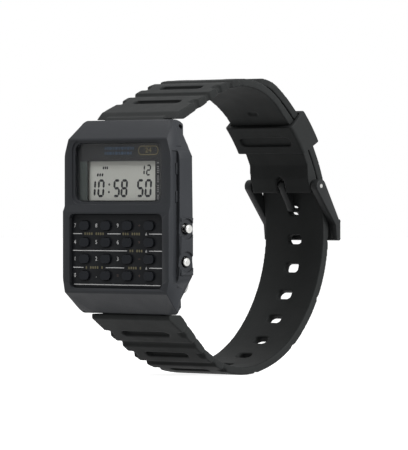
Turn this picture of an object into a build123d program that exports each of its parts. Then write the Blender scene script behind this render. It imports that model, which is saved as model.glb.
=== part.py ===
from build123d import *
import math
import os

# Calculator watch, closed as if worn: resin case, display, sixteen keys, two side pushers,
# resin strap in two halves with pin buckle and keeper.  Millimetres.  +Z is 12 o'clock,
# the face looks along -Y, 3 o'clock is +X.  Origin: middle of the steel back's flat face.

# case
case_w, case_l, case_t = 34.4, 43.2, 8.2   # over the sides, over the ends, front to back
body_end_w, body_end_w_low = 26.0, 24.0    # width of the two ends behind the front part
body_z, body_z_low = 13.6, 13.0            # half length of the straight sides
face_w, face_end_w, face_end_w_low, face_z = 33.7, 28.4, 30.6, 13.9    # front part: sides, ends, where they draw in
corner_r, end_r = 5.0, 1.3
step_depth = 2.5                           # from the face back to the wider body
key_rise, rise_z, rise_slope = 0.55, 1.2, 1.2     # the keypad half stands out of the face
rim_z, rim_z_low, hood_drop = 17.4, 16.9, 4.0    # where the ends slope back, how far they fall
hood_z = 15.6                              # where the front part reaches back over the ends
groove_in, groove_lip, groove_z = 0.55, 0.8, 14.6     # recess along both sides of the front part
lug_r, rear_bevel = 1.7, 0.9               # rear rounding of the ends, bevel along the back
bevel_z, bevel_z_low = 13.4, 13.2          # where the rear bevel grows, top and bottom
lug_out, lug_out_low, lug_z = 2.8, 3.5, 18.3     # how much it has grown at the bosses
nib_l, nib_t = 2.5, 0.45                   # small nibs in the side recess
nib_z = (10.7, 4.5)
guard_l, guard_out, guard_t, guard_z = 12.8, 0.3, 3.7, -6.5

# display side
rim_w, rim_h, rim_depth = 28.8, 14.2, 0.3
glass_w, glass_h, glass_t, glass_r, glass_z = 27.3, 13.1, 0.9, 1.9, 9.95
mask_t, ledge_t = 0.15, 0.5
open_w, open_h, open_r, open_z = 22.8, 9.2, 0.6, 8.2     # opening in the ledge under the window
lcd_w, lcd_h, lcd_t, lcd_z = 23.2, 10.9, 1.0, 8.2
view_w, view_h, view_x, view_z = 21.0, 8.7, 0.35, 8.05
reflector_t = 0.1
zebra_w, zebra_h, zebra_t = 21.0, 1.2, 0.8
pcb_t = 0.6

# keypad
pad_w, pad_h, pad_r, pad_z = 29.4, 16.6, 1.2, -7.6
pad_drop, pad_t, pad_ledge = 0.3, 0.7, 1.0
key_cols, key_rows = 4, 4
key_pitch_x, key_pitch_z = 6.84, 3.71
key_x0, key_z0 = -10.5, -1.95              # first key, upper left
key_w, key_h, key_proud, key_gap = 3.1, 2.0, 0.1, 0.1
flange, flange_t, key_fit = 0.35, 0.4, 0.02
key_round, key_steps = 0.25, 6
web_w, web_t, dome_wall, dome_in, pill_t = 23.8, 0.4, 0.25, 0.35, 0.3
dome_steps = 3

# inside
cav_w, cav_l, cav_cut = 25.2, 30.8, 2.2    # hollow of the case and its cut corners
board_gap, holder_gap = 0.3, 0.4           # clear of the hollow's wall
cell_r, cell_t, cell_z, cell_fit = 10.0, 1.6, -2.4, 0.15
clip_t, clip_w, clip_tab = 0.2, 4.0, 1.6
buzzer_r, buzzer_t, buzzer_z = 7.5, 0.25, -2.4
coil_wire, coil_mean, coil_pitch, coil_steps = 0.22, 0.8, 0.7, 10
buzz_x, buzz_z, buzz_mean = 5.6, 11.4, 0.9
chip_w, chip_t = 6.0, 0.8
can_r, can_l, can_x, can_z = 0.75, 5.0, -8.6, 11.8

# steel back
back_w, back_l, back_t, back_r = 29.2, 34.0, 0.9, 2.0
back_edge = 0.3
ring_w, ring_t, ring_off = 0.7, 0.7, 0.35
screw_x, screw_z, head_r, head_t, stem_r, stem_l = 13.2, 15.4, 0.9, 0.45, 0.5, 2.6
stem_sides = 8
slot_clear = 0.05

# side pushers
push_y, push_z = -3.65, (-2.6, -9.9)
push_in = (0.0, 0.75)                      # the lower one stands further in
push_r, push_t, stem_push_r, push_out = 1.0, 1.0, 0.5, 18.4
well_r, well_t, bore_gap = 1.3, 3.1, 0.05
scallop_r, scallop_t = 2.3, 0.55
eclip_r, eclip_t, eclip_in = 0.9, 0.2, 0.25
seal_wire, seal_gap, gland_t = 0.2, 0.02, 0.6
push_tail = 0.7

# spring bars
bar_y, bar_z = -2.0, 20.0
bar_r, tip_r, tip_gap = 0.75, 0.45, 0.07
tab_w, tab_r, tab_gap, bar_gap = 18.2, 2.1, 0.3, 0.05
heel_gap = 0.15                            # between the case end and the strap's shoulder

# strap: the buckled loop follows arcs in side view
loop_y, loop_z, loop_r = 10.09, -3.66, 41.0      # centre and outer radius of the overlap
strap_t, layer_gap = 1.8, 0.25
strap_w, strap_end_w = 24.8, 18.5
arc_b_r, heel_l = 35.0, 3.5                       # middle arc, long half's offset from its bar
turn_c, turn_b, turn_a = 3.0, 48.0, 80.2         # start of arc C, sweeps of arcs B and A
tip_turn = 59.2                                   # where the long half ends
line_rise, heel_u, crown_r = 23.8, 2.72, 22.0     # short half: slope, offset from its bar, crown
front_y, front_y_u, face_y_u = -4.1, -2.6, -1.0   # strap corners behind the case ends
heel_y_u, heel_y_l = 0.6, -0.3                    # wrist side of each half's shoulder
taper_y_u, taper_mid_y, taper_mid_w = 36.0, 22.0, 22.0
taper_y_l = 30.0
row_start, row_pitch, row_count = 6.0, 4.15, 5
groove_r, groove_t = 1.1, 0.6
bite_r, bite_t, bite_sides = 0.9, 0.45, 8           # scallops in the long edges, one per row
slot_ws = (14.6, 13.1, 11.9)
slot_h, slot_t = 1.7, 0.8
edge_l = 1.6
hole_w, hole_l, hole_cut = 3.0, 2.15, 0.45
hole_pitch, holes_below, holes_above = 6.95, 7, 4
hole_turn = 7.3                                   # the hole that the tongue is in
cross_t, cross_r = 0.25, 1.0                      # shallow grooves at every second hole
tip_corner_r = 2.8

# buckle
pin_turn, pin_r_at = 16.55, 37.55
barrel_r = 1.4
notch_w, notch_l = 2.5, 2.5
block_r, block_turn, block_thin = 36.15, 20.0, 25.5     # thicker end of the short half
frame_gap, arm_w = 0.35, 1.95
eye_r, elbow_r, plate_r = 1.5, 0.75, 0.62
elbow = (51.75, -1.6)
plate_y, plate_top, plate_bot = 51.98, -1.2, -4.9
tongue_w, tongue_r, tongue_eye = 1.8, 0.48, 1.3
tongue_path = ((47.75, 2.9), (48.35, 1.62), (51.2, 1.35), (52.55, 0.25), (53.3, -4.2))
plate_notch_w = 2.6

# keeper
keep_turn, keep_half_turn = 35.8, 5.85
keep_wall, keep_gap, keep_side, keep_side_gap = 0.9, 0.2, 1.1, 0.25
keep_fillet = 0.7
keep_slot_w, keep_slot_h, keep_slot_t, keep_slot_low = 16.0, 2.3, 0.55, 0.5
dimple_w, dimple_h, dimple_t, dimple_turn = 3.0, 1.2, 0.4, 47.0


os.makedirs("parts", exist_ok=True)


def deg(a):
    return math.radians(a)


def slab(shape, y0, y1):
    """Front-view outline (x, z) made solid from y0 (front) to y1 (back)."""
    return extrude(Plane.XZ.offset(-y1) * shape, amount=y1 - y0)


def side(shape, x0, x1):
    """Side-view outline (y, z) made solid from x0 to x1."""
    return extrude(Plane.YZ.offset(x0) * shape, amount=x1 - x0)


def both(shape, x0, x1):
    return side(shape, x0, x1) + side(shape, -x1, -x0)


def poly(*pts):
    return make_face(Polyline(*pts, close=True))


def rod(y, z, r, x0, x1):
    return side(Pos(y, z) * Circle(r), x0, x1)


def post(x, z, r, y0, y1):
    return slab(Pos(x, z) * Circle(r), y0, y1)


def on_loop(r, turn):
    """Point at radius r and angle turn about the centre of the buckled overlap."""
    return loop_y + r * math.cos(deg(turn)), loop_z + r * math.sin(deg(turn))


def save(shape, name):
    shape.label = name
    export_step(shape, "parts/" + name + ".step")


# levels from the front (y)
front = -case_t
step_y = front + step_depth
glass_y0 = front + rim_depth
glass_y1 = glass_y0 + glass_t
mask_y1 = glass_y1 + mask_t
roof_y = mask_y1 + ledge_t
lcd_y0 = roof_y + slot_clear
lcd_y1 = lcd_y0 + lcd_t
pcb_y0 = lcd_y1 + reflector_t + zebra_t
pcb_y1 = pcb_y0 + pcb_t
pad_y0 = front + pad_drop
pad_y1 = pad_y0 + pad_t
back_y = -back_t
buzzer_y0 = back_y - buzzer_t
push_travel = 0.8 * push_t

# case body
half_w, half_l = case_w / 2, case_l / 2


def outline(w, end_up, end_down, z_up, z_down):
    """Front-view outline: straight sides that draw in from z_up and z_down to the two ends."""
    sk = poly((w / 2, -z_down), (w / 2, z_up), (end_up / 2, half_l), (-end_up / 2, half_l), (-w / 2, z_up),
              (-w / 2, -z_down), (-end_down / 2, -half_l), (end_down / 2, -half_l))
    sk = fillet(sk.vertices().filter_by(lambda v: abs(v.Y) < half_l - end_r), corner_r)
    return fillet(sk.vertices().filter_by(lambda v: abs(v.Y) > half_l - end_r / 2), end_r)


def pill(w, h, steps=key_steps):
    """Bar with round ends drawn in few steps."""
    turns = [math.pi * (i / steps - 0.5) for i in range(steps + 1)]
    half = [((w - h) / 2 + h / 2 * math.cos(a), h / 2 * math.sin(a)) for a in turns]
    return poly(*half, *[(-x, -z) for x, z in half])


hood_y = front + hood_drop
key_front = front - key_rise
face = outline(face_w, face_end_w, face_end_w_low, face_z, face_z)
body = outline(case_w, body_end_w, body_end_w_low, body_z, body_z_low)
case = slab(face, key_front, step_y) + slab(body, step_y, back_y)
case += slab(face - Rectangle(2 * case_w, 2 * hood_z), step_y, hood_y)

# side view: two face levels, sloping ends, rounded rear corners
profile = poly((front, rise_z + rise_slope), (front, rim_z), (hood_y, half_l), (back_y, half_l), (back_y, -half_l),
               (hood_y, -half_l), (key_front, -rim_z_low), (key_front, rise_z))
profile = fillet(profile.vertices().filter_by(lambda v: abs(v.X - back_y) < back_t / 2), lug_r)
case &= side(profile, -case_w, case_w)

# recess along the sides, with two nibs
inner = face & Rectangle(face_w - 2 * groove_in, 2 * case_l)
groove = (face - inner) & Rectangle(2 * case_w, 2 * groove_z)
case -= slab(groove, front + groove_lip, step_y)
for z in nib_z:
    case += slab(Pos(0, z) * Rectangle(face_w - groove_in, nib_l), step_y - nib_t, step_y)

# bevel along the back, growing towards the bosses; drawn in the plane that looks along it
root2 = math.sqrt(2)
flank, beyond = half_w + back_y - rear_bevel, half_l + case_t
across = Plane(origin=(0, 0, 0), x_dir=(1, 1, 0), z_dir=(1, -1, 0))
trim = poly((flank / root2, bevel_z), ((flank - lug_out) / root2, lug_z), ((flank - lug_out) / root2, beyond),
            (case_w, beyond), (case_w, -beyond), ((flank - lug_out_low) / root2, -beyond),
            ((flank - lug_out_low) / root2, -lug_z), (flank / root2, -bevel_z_low))
wedge = extrude(across * trim, amount=case_w)
case = case - wedge - mirror(wedge, about=Plane.YZ)
guard = Pos(0, guard_z) * RectangleRounded(case_w + 2 * guard_out, guard_l, guard_out)
case += slab(guard, step_y + guard_out, step_y + guard_out + guard_t)


def room(off):
    """Outline of the hollow, moved out by off."""
    return chamfer(Rectangle(cav_w + 2 * off, cav_l + 2 * off).vertices(), cav_cut + off * (2 - math.sqrt(2)))


case -= slab(room(0), roof_y, back_y)
case -= slab(Pos(0, glass_z) * RectangleRounded(rim_w, rim_h, glass_r + rim_depth), key_front, glass_y0)
case -= slab(Pos(0, glass_z) * RectangleRounded(glass_w, glass_h, glass_r), front, mask_y1)
case -= slab(Pos(0, open_z) * RectangleRounded(open_w, open_h, open_r), front, roof_y)
case -= slab(Pos(0, pad_z) * RectangleRounded(pad_w, pad_h, pad_r), key_front, pad_y1)
case -= slab(Pos(0, pad_z) * RectangleRounded(cav_w, pad_h - 2 * pad_ledge, pad_r / 2), front, roof_y)

# strap pockets, bar holes
pocket_r = tab_r + tab_gap
reach = pocket_r * math.cos(deg(45))
for s in (1, -1):
    pocket = Pos(bar_y, s * bar_z) * Circle(pocket_r)
    pocket += poly((bar_y - reach, s * (bar_z + reach)), (bar_y - reach, s * (half_l + case_t)),
                   (case_t, s * (half_l + case_t)), (case_t, s * (bar_z - pocket_r)),
                   (bar_y, s * (bar_z - pocket_r)), (bar_y, s * bar_z))
    case -= side(pocket, -tab_w / 2 - tab_gap, tab_w / 2 + tab_gap)
    case -= rod(bar_y, s * bar_z, tip_r + tip_gap, -half_w, half_w)

# gasket groove, screw holes
case -= slab(room(ring_off + ring_w) - room(ring_off), back_y - ring_t, back_y)
screws_at = [(x, z) for x in (screw_x, -screw_x) for z in (screw_z, -screw_z)]
for x, z in screws_at:
    case -= slab(Pos(x, z) * RegularPolygon(stem_r + 2 * slot_clear, stem_sides), -stem_l - slot_clear, back_y)

# pusher wells in the guard
for z, back_in in zip(push_z, push_in):
    mouth = push_out - push_t - back_in
    floor = mouth + push_t - well_t
    case -= rod(push_y, z, well_r, floor, push_out)
    case -= rod(push_y, z, scallop_r, half_w + guard_out - scallop_t, push_out)
    case -= rod(push_y, z, stem_push_r + bore_gap, 0, push_out)
    case -= rod(push_y, z, stem_push_r + 2 * seal_wire + 2 * seal_gap, 0, cav_w / 2 + gland_t)
save(case, "case_body")

# window, mask and display cell
glass = slab(Pos(0, glass_z) * RectangleRounded(glass_w - 2 * slot_clear, glass_h - 2 * slot_clear, glass_r),
             glass_y0, glass_y1)
save(glass, "display_window")
mask = Pos(0, glass_z) * RectangleRounded(glass_w - 2 * slot_clear, glass_h - 2 * slot_clear, glass_r)
mask -= Pos(view_x, view_z) * RectangleRounded(view_w, view_h, pad_drop)
save(slab(mask, glass_y1, mask_y1), "display_mask")
save(slab(Pos(0, lcd_z) * Rectangle(lcd_w, lcd_h), lcd_y0, lcd_y1), "lcd_cell")
save(slab(Pos(0, lcd_z) * Rectangle(lcd_w, lcd_h - 2 * zebra_h), lcd_y1, lcd_y1 + reflector_t), "lcd_reflector")
zebra = Part()
for s in (1, -1):
    strip = Pos(0, lcd_z + s * (lcd_h - zebra_h) / 2) * Rectangle(zebra_w, zebra_h)
    zebra += slab(strip, lcd_y1, pcb_y0)
save(zebra, "zebra_connectors")

# keypad plate and keys
keys_at = [(f"key_r{r + 1}c{c + 1}", key_x0 + c * key_pitch_x, key_z0 - r * key_pitch_z)
           for r in range(key_rows) for c in range(key_cols)]
plate = Pos(0, pad_z) * RectangleRounded(pad_w - 2 * slot_clear, pad_h - 2 * slot_clear, pad_r)
for _, x, z in keys_at:
    plate -= Pos(x, z) * pill(key_w + 2 * key_gap, key_h + 2 * key_gap)
save(slab(plate, pad_y0, pad_y1), "keypad_plate")
flange_y0 = pad_y1 + key_fit
flange_y1 = flange_y0 + flange_t
for name, x, z in keys_at:
    cap = slab(Pos(x, z) * pill(key_w, key_h), front - key_proud, flange_y0)
    cap = chamfer(cap.faces().sort_by(Axis.Y)[0].edges(), key_round)
    cap += slab(Pos(x, z) * Rectangle(key_w + 2 * flange, key_h + 2 * flange), flange_y0, flange_y1)
    save(cap, name)

# rubber sheet: a dome with a carbon pill under every key
web_y1 = pcb_y0
web_y0 = web_y1 - web_t
web_h = key_rows * key_pitch_z - key_pitch_z / 5
web_mid = key_z0 - (key_rows - 1) * key_pitch_z / 2
web_x = key_x0 + (key_cols - 1) * key_pitch_x / 2
web = slab((Pos(web_x, web_mid) * Rectangle(web_w, web_h)) & room(-board_gap), web_y0, web_y1)
for _, x, z in keys_at:
    web += slab(Pos(x, z) * pill(key_w, key_h + dome_in, dome_steps), flange_y1, web_y0)
for _, x, z in keys_at:
    inner = pill(key_w - 2 * dome_wall, key_h + dome_in - 2 * dome_wall, dome_steps)
    web -= slab(Pos(x, z) * inner, flange_y1 + dome_wall, web_y1)
    web += slab(Pos(x, z) * RegularPolygon(key_h / 2 - dome_wall, stem_sides), flange_y1 + dome_wall / 2,
                flange_y1 + dome_wall + pill_t)
save(web, "keypad_membrane")

# circuit board and what it carries
board = room(-board_gap)
tail_x = cav_w / 2 - push_tail - push_travel - eclip_t
for z in push_z:
    board -= Pos(cav_w / 2, z) * Rectangle(2 * (cav_w / 2 - tail_x) + push_tail, 3 * eclip_r)
save(slab(board, pcb_y0, pcb_y1), "circuit_board")
chip = slab(Pos(0, buzz_z) * RectangleRounded(chip_w, 0.6 * chip_w, chip_t), pcb_y1, pcb_y1 + chip_t)
chip = chamfer(chip.faces().sort_by(Axis.Y)[-1].edges(), 0.5 * chip_t)
save(chip, "chip_blob")
save(rod(pcb_y1 + can_r, can_z, can_r, can_x - can_l / 2, can_x + can_l / 2), "quartz_crystal")

# cell holder: a plastic frame between the board and the back
holder_y0, holder_y1 = pcb_y1, buzzer_y0 - clip_t - 2 * slot_clear
cell_y1 = holder_y1
cell_y0 = cell_y1 - cell_t
holder = slab(room(-holder_gap), holder_y0, holder_y1)
holder -= post(0, cell_z, cell_r + cell_fit, cell_y0, holder_y1)
holder -= post(buzz_x, buzz_z, buzz_mean + 2 * coil_wire, holder_y0, holder_y1)
holder -= slab(Pos(0, buzz_z) * RectangleRounded(chip_w + chip_t, 0.6 * chip_w + chip_t, chip_t),
               holder_y0, holder_y0 + chip_t + slot_clear)
holder -= slab(Pos(can_x, can_z) * Rectangle(can_l + chip_t / 2, 3 * can_r), holder_y0, holder_y0 + 2.2 * can_r)
for z in push_z:
    holder -= slab(Pos(cav_w / 2, z) * Rectangle(2 * (cav_w / 2 - tail_x) + push_tail, 3 * eclip_r),
                   holder_y0, holder_y1)
save(holder, "cell_holder")
save(post(0, cell_z, cell_r, cell_y0, cell_y1), "button_cell")
strap_clip = Pos(0, cell_z) * Rectangle(clip_w, 2 * cell_r + 2 * clip_tab)
strap_clip += Pos(0, cell_z) * Rectangle(2 * cell_r * 0.6, clip_w)
save(slab(strap_clip, cell_y1, cell_y1 + clip_t), "cell_clip")
save(post(0, buzzer_z, buzzer_r, buzzer_y0, back_y), "buzzer_disc")


def spring(length, mean, wire, pitch):
    """Helical spring along +Z from 0 to length, bent in short straight steps."""
    turns = (length - wire) / pitch
    count = round(turns * coil_steps)
    steps = [(2 * math.pi * turns * i / count, i / count) for i in range(count + 1)]
    path = Polyline(*[(mean * math.cos(a), mean * math.sin(a), wire / 2 + (length - wire) * f) for a, f in steps])
    start = Plane(origin=path @ 0, z_dir=path % 0)
    return sweep(start * Rectangle(wire, wire), path=path, transition=Transition.RIGHT), turns


buzz_len = back_y - buzzer_t - pcb_y1
hat, n = spring(buzz_len, buzz_mean, coil_wire, coil_pitch)
print("buzzer spring turns", round(n, 2), "gap", round(coil_pitch - coil_wire, 2))
save(Pos(buzz_x, pcb_y1, buzz_z) * Rot(-90, 0, 0) * hat, "buzzer_spring")

# steel back, gasket, screws
lid = slab(RectangleRounded(back_w, back_l, back_r), back_y, 0)
lid = chamfer(lid.faces().sort_by(Axis.Y)[-1].edges(), back_edge)
for x, z in screws_at:
    lid -= post(x, z, head_r + slot_clear, -head_t - slot_clear, 0)
    lid -= slab(Pos(x, z) * RegularPolygon(stem_r + 2 * slot_clear, stem_sides), back_y, 0)
save(lid, "case_back")
ring = room(ring_off + ring_w - slot_clear) - room(ring_off + slot_clear)
save(slab(ring, back_y - ring_t, back_y), "back_gasket")
screws = Part()
for x, z in screws_at:
    stem = slab(Pos(x, z) * RegularPolygon(stem_r, stem_sides), -stem_l, -head_t)
    screws += slab(Pos(x, z) * RegularPolygon(head_r, 2 * stem_sides), -head_t, -slot_clear) + stem
save(screws, "back_screws")

# pushers: head, stem, return spring, seal, retaining clip
for label, z, back_in in zip(("upper", "lower"), push_z, push_in):
    head_x0 = push_out - push_t - back_in
    floor = push_out - back_in - well_t
    head = rod(push_y, z, push_r, head_x0, head_x0 + push_t)
    head = chamfer(head.faces().sort_by(Axis.X)[-1].edges(), push_r / 4)
    clip_x1 = cav_w / 2 - seal_gap
    clip_x0 = clip_x1 - eclip_t
    stem = side(Pos(push_y, z) * RegularPolygon(stem_push_r, 2 * stem_sides), clip_x0 - push_tail, head_x0)
    neck = Circle(stem_push_r) - Circle(stem_push_r - eclip_in)
    stem -= side(Pos(push_y, z) * neck, clip_x0 - slot_clear / 2, clip_x1 + slot_clear / 2)
    save(head + stem, "pusher_" + label)
    washer = Circle(eclip_r) - Circle(stem_push_r - eclip_in + slot_clear / 2)
    washer -= Pos(0, -eclip_r) * Rectangle(stem_push_r, 2 * eclip_r)
    save(side(Pos(push_y, z) * washer, clip_x0, clip_x1), "pusher_clip_" + label)
    tube, n = spring(head_x0 - floor, coil_mean, coil_wire, coil_pitch)
    print("pusher spring turns", round(n, 2), "gap", round(coil_pitch - coil_wire, 2))
    save(Pos(floor, push_y, z) * Rot(0, 90, 0) * tube, "pusher_spring_" + label)
seals = Part()
for z in push_z:
    ring = Circle(stem_push_r + seal_gap + 2 * seal_wire) - Circle(stem_push_r + seal_gap)
    mid = cav_w / 2 + gland_t / 2
    seals += side(Pos(push_y, z) * ring, mid - seal_wire, mid + seal_wire)
save(seals, "pusher_seals")

# spring bars in the case ends
bar_half = tab_w / 2 + tab_gap - slot_clear
tip_half = body_end_w_low / 2 + slot_clear
for label, s in (("upper", 1), ("lower", -1)):
    bar = rod(bar_y, s * bar_z, bar_r, -bar_half, bar_half) + rod(bar_y, s * bar_z, tip_r, -tip_half, tip_half)
    save(bar, "spring_bar_" + label)


def shifted(p, heading, off):
    return p[0] - off * math.sin(heading), p[1] + off * math.cos(heading)


class Run:
    """Side-view path made of straight and circular pieces; off is measured to the left."""

    def __init__(self, start, heading):
        self.legs, self.at, self.head = [], start, heading

    def add(self, length, curve):
        self.legs.append((self.at, self.head, length, curve))
        self.at, self.head = self.point(length, curve, self.at, self.head)

    def point(self, s, curve, at, head):
        if curve == 0:
            return (at[0] + s * math.cos(head), at[1] + s * math.sin(head)), head
        turned = head + s * curve
        return (at[0] + (math.sin(turned) - math.sin(head)) / curve,
                at[1] - (math.cos(turned) - math.cos(head)) / curve), turned

    def along(self, s, off=0):
        for at, head, length, curve in self.legs:
            if s <= length or (at, head, length, curve) == self.legs[-1]:
                p, h = self.point(s, curve, at, head)
                return shifted(p, h, off), h
            s -= length

    def length(self):
        return sum(leg[2] for leg in self.legs)

    def edges(self, off, first=0):
        """The path moved sideways by off, from leg number first to the end."""
        out = []
        for at, head, length, curve in self.legs[first:]:
            a, m, b = (shifted(*self.point(f * length, curve, at, head), off) for f in (0, 0.5, 1))
            out.append(Line(a, b) if curve == 0 else ThreePointArc(a, m, b))
        return out


shoulder = half_l + heel_gap
outer_u = loop_r - strap_t - layer_gap      # outer radius of the short half in the overlap

# long half (6 o'clock): line, arc A, arc B, arc C to the tip; the wrist is on the left
ang_ab = turn_c - turn_b
ang_a = ang_ab - turn_a
cen_b = (loop_y + (loop_r - arc_b_r) * math.cos(deg(turn_c)), loop_z + (loop_r - arc_b_r) * math.sin(deg(turn_c)))
n_l = (math.cos(deg(ang_a)), math.sin(deg(ang_a)))
off_b = (cen_b[0] - bar_y) * n_l[0] + (cen_b[1] + bar_z) * n_l[1]
arc_a_r = (heel_l - off_b - arc_b_r * math.cos(deg(turn_a))) / (1 - math.cos(deg(turn_a)))
cen_a = (cen_b[0] + (arc_b_r - arc_a_r) * math.cos(deg(ang_ab)),
         cen_b[1] + (arc_b_r - arc_a_r) * math.sin(deg(ang_ab)))
a_start = (cen_a[0] + arc_a_r * math.cos(deg(ang_a)), cen_a[1] + arc_a_r * math.sin(deg(ang_a)))
slope_l = deg(ang_a + 90)
lead = (a_start[0] - front_y) / math.cos(slope_l)
l_start = (front_y, a_start[1] - lead * math.sin(slope_l))
low = Run(l_start, slope_l)
low.add(lead, 0)
low.add(arc_a_r * deg(turn_a), 1 / arc_a_r)
low.add(arc_b_r * deg(turn_b), 1 / arc_b_r)
low.add(loop_r * deg(tip_turn - turn_c), 1 / loop_r)

# short half (12 o'clock): line, crown, then under the long half; the wrist is on the right
rise = deg(line_rise)
n_u = (-math.sin(rise), math.cos(rise))
foot = (bar_y + heel_u * n_u[0], bar_z + heel_u * n_u[1])
base = (foot[0] - crown_r * n_u[0] - loop_y, foot[1] - crown_r * n_u[1] - loop_z)
dot = base[0] * math.cos(rise) + base[1] * math.sin(rise)
gap2 = (outer_u - crown_r) ** 2 - (base[0] ** 2 + base[1] ** 2 - dot ** 2)
t_crown = -dot + math.sqrt(gap2)
cen_u = (base[0] + loop_y + t_crown * math.cos(rise), base[1] + loop_z + t_crown * math.sin(rise))
join = math.degrees(math.atan2(cen_u[1] - loop_z, cen_u[0] - loop_y))
u_start = (face_y_u, foot[1] + (face_y_u - foot[0]) * math.tan(rise))
lead_u = (cen_u[0] + crown_r * n_u[0] - face_y_u) / math.cos(rise)
upp = Run(u_start, rise)
upp.add(lead_u, 0)
upp.add(crown_r * deg(90 + line_rise - join), -1 / crown_r)
upp.add(outer_u * deg(join - pin_turn), -1 / outer_u)
print("first arc of the long half", round(arc_a_r, 3))
print("overlap joins the crown at", round(join, 1), "degrees; crown top",
      round(cen_u[1] + crown_r, 2), "half lengths", round(upp.length(), 1), round(low.length(), 1))


def touch(p, centre, r, turn):
    """Touching point, on a circle, of the line drawn from p."""
    dy, dz = p[0] - centre[0], p[1] - centre[1]
    a = math.atan2(dz, dy) + turn * math.acos(r / math.hypot(dy, dz))
    return centre[0] + r * math.cos(a), centre[1] + r * math.sin(a)


def bend(a, b, centre, r):
    """Short arc from a to b about centre."""
    ang_0, ang_1 = (math.atan2(p[1] - centre[1], p[0] - centre[0]) for p in (a, b))
    mid = ang_0 + ((ang_1 - ang_0 + math.pi) % (2 * math.pi) - math.pi) / 2
    return ThreePointArc(a, (centre[0] + r * math.cos(mid), centre[1] + r * math.sin(mid)), b)


def strap_face(run, wrist, corner, heel, centre, r):
    """Side view of one half: the outer run, the free end, the inner run and a thick heel."""
    off = wrist * strap_t
    outer, inner = run.edges(0), run.edges(off, first=2)
    start = touch(heel, centre, r - strap_t, wrist)
    sides = outer + inner
    sides += [Line(outer[-1] @ 1, inner[-1] @ 1), Line(corner, outer[0] @ 0), Line(corner, heel)]
    sides += [Line(heel, start), bend(start, tuple(inner[0] @ 0)[:2], centre, r - strap_t)]
    return make_face(sides)


def tab(s, corner, heel):
    """The narrow end that goes between the case bosses."""
    reach_t = tab_r * math.cos(deg(45))
    root = s * shoulder + s * strap_t / 3
    sk = Pos(bar_y, s * bar_z) * Circle(tab_r)
    sk += poly((bar_y - reach_t, s * (bar_z + reach_t)), (max(bar_y - reach_t, corner), root),
               (min(heel, bar_y + tab_r), root),
               (bar_y + tab_r, s * bar_z), (bar_y, s * bar_z))
    return side(sk, -tab_w / 2, tab_w / 2)


def plan_u():
    h, m, e = strap_w / 2, taper_mid_w / 2, strap_end_w / 2
    far, near = loop_y + 2 * loop_r, front_y - case_t
    sides = [Line((e, far), (-e, far)), Line((h, near), (-h, near))]
    for s in (1, -1):
        sides += [Line((s * h, near), (s * h, 0)), ThreePointArc((s * h, 0), (s * m, taper_mid_y), (s * e, taper_y_u)),
                  Line((s * e, taper_y_u), (s * e, far))]
    return make_face(sides)


def plan_l():
    h, e = strap_w / 2, strap_end_w / 2
    far, near = loop_y + 2 * loop_r, front_y - case_t
    return poly((h, near), (h, 0), (e, taper_y_l), (e, far), (-e, far), (-e, taper_y_l), (-h, 0), (-h, near))


def width_at(y, upper):
    if not upper:
        return strap_w + (strap_end_w - strap_w) * min(max(y / taper_y_l, 0), 1)
    if y < taper_mid_y:
        return strap_w + (taper_mid_w - strap_w) * max(y / taper_mid_y, 0)
    return taper_mid_w + (strap_end_w - taper_mid_w) * min((y - taper_mid_y) / (taper_y_u - taper_mid_y), 1)


def surface(run, s, out_sign):
    """Plane on the outer face at distance s: x across the strap, z out of it."""
    (y, z), h = run.along(s)
    ny, nz = -out_sign * math.sin(h), out_sign * math.cos(h)
    return Plane(origin=(0, y, z), x_dir=(1, 0, 0), z_dir=(0, ny, nz))


def ribs(half, run, out_sign, upper):
    """Alternate blind slots and full grooves; every row ends in an edge notch."""
    lift = groove_r - groove_t
    for i in range(row_count):
        s = row_start + i * row_pitch
        pl = surface(run, s, out_sign)
        y, z = pl.origin.Y, pl.origin.Z
        cy, cz = y + lift * pl.z_dir.Y, z + lift * pl.z_dir.Z
        w = width_at(y, upper) / 2
        bite = RegularPolygon(bite_r, bite_sides)
        bites = Pos(w + bite_r - bite_t, 0) * bite + Pos(bite_t - bite_r - w, 0) * bite
        half -= extrude(pl.offset(-2 * strap_t) * bites, amount=3 * strap_t)
        if i % 2:
            half -= rod(cy, cz, groove_r, -strap_w, strap_w)
        else:
            half -= both(Pos(cy, cz) * Circle(groove_r), w - edge_l, strap_w)
            slot = pl.offset(-slot_t) * SlotOverall(slot_ws[i // 2], slot_h)
            half -= extrude(slot, amount=slot_t + groove_r)
    return half


# short half
pin = on_loop(pin_r_at, pin_turn)
face_u = strap_face(upp, -1, (front_y_u, shoulder), (heel_y_u, shoulder), cen_u, crown_r)
block_end = pin_turn - math.degrees(barrel_r / pin_r_at)
block = poly(on_loop(outer_u - strap_t + layer_gap, block_thin), on_loop(block_r, block_turn),
             on_loop(block_r, pin_turn), on_loop(block_r, block_end), on_loop(outer_u, block_end),
             on_loop(outer_u, pin_turn), on_loop(outer_u - layer_gap, block_turn))
short = side(face_u + block, -strap_w / 2, strap_w / 2)
short &= extrude(Plane.XY.offset(-2 * loop_r) * plan_u(), amount=4 * loop_r)
short = ribs(short, upp, 1, True)
short += tab(1, front_y_u + slot_clear, heel_y_u)
dimple_y, dimple_z = on_loop(outer_u - strap_t, dimple_turn)
dimple = Plane(origin=(0, dimple_y, dimple_z), x_dir=(1, 0, 0),
               z_dir=(0, -math.cos(deg(dimple_turn)), -math.sin(deg(dimple_turn))))
short -= extrude(dimple.offset(-dimple_t) * pill(dimple_w, dimple_h), amount=2 * dimple_t)
short -= rod(bar_y, bar_z, bar_r + bar_gap, -strap_w, strap_w)
short -= rod(*pin, bar_r + bar_gap, -strap_w, strap_w)
slit = surface(upp, upp.length(), 1).offset(-3 * strap_t) * SlotOverall(2 * notch_l, notch_w, rotation=90)
short -= extrude(slit, amount=5 * strap_t)
save(short, "strap_upper")

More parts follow.
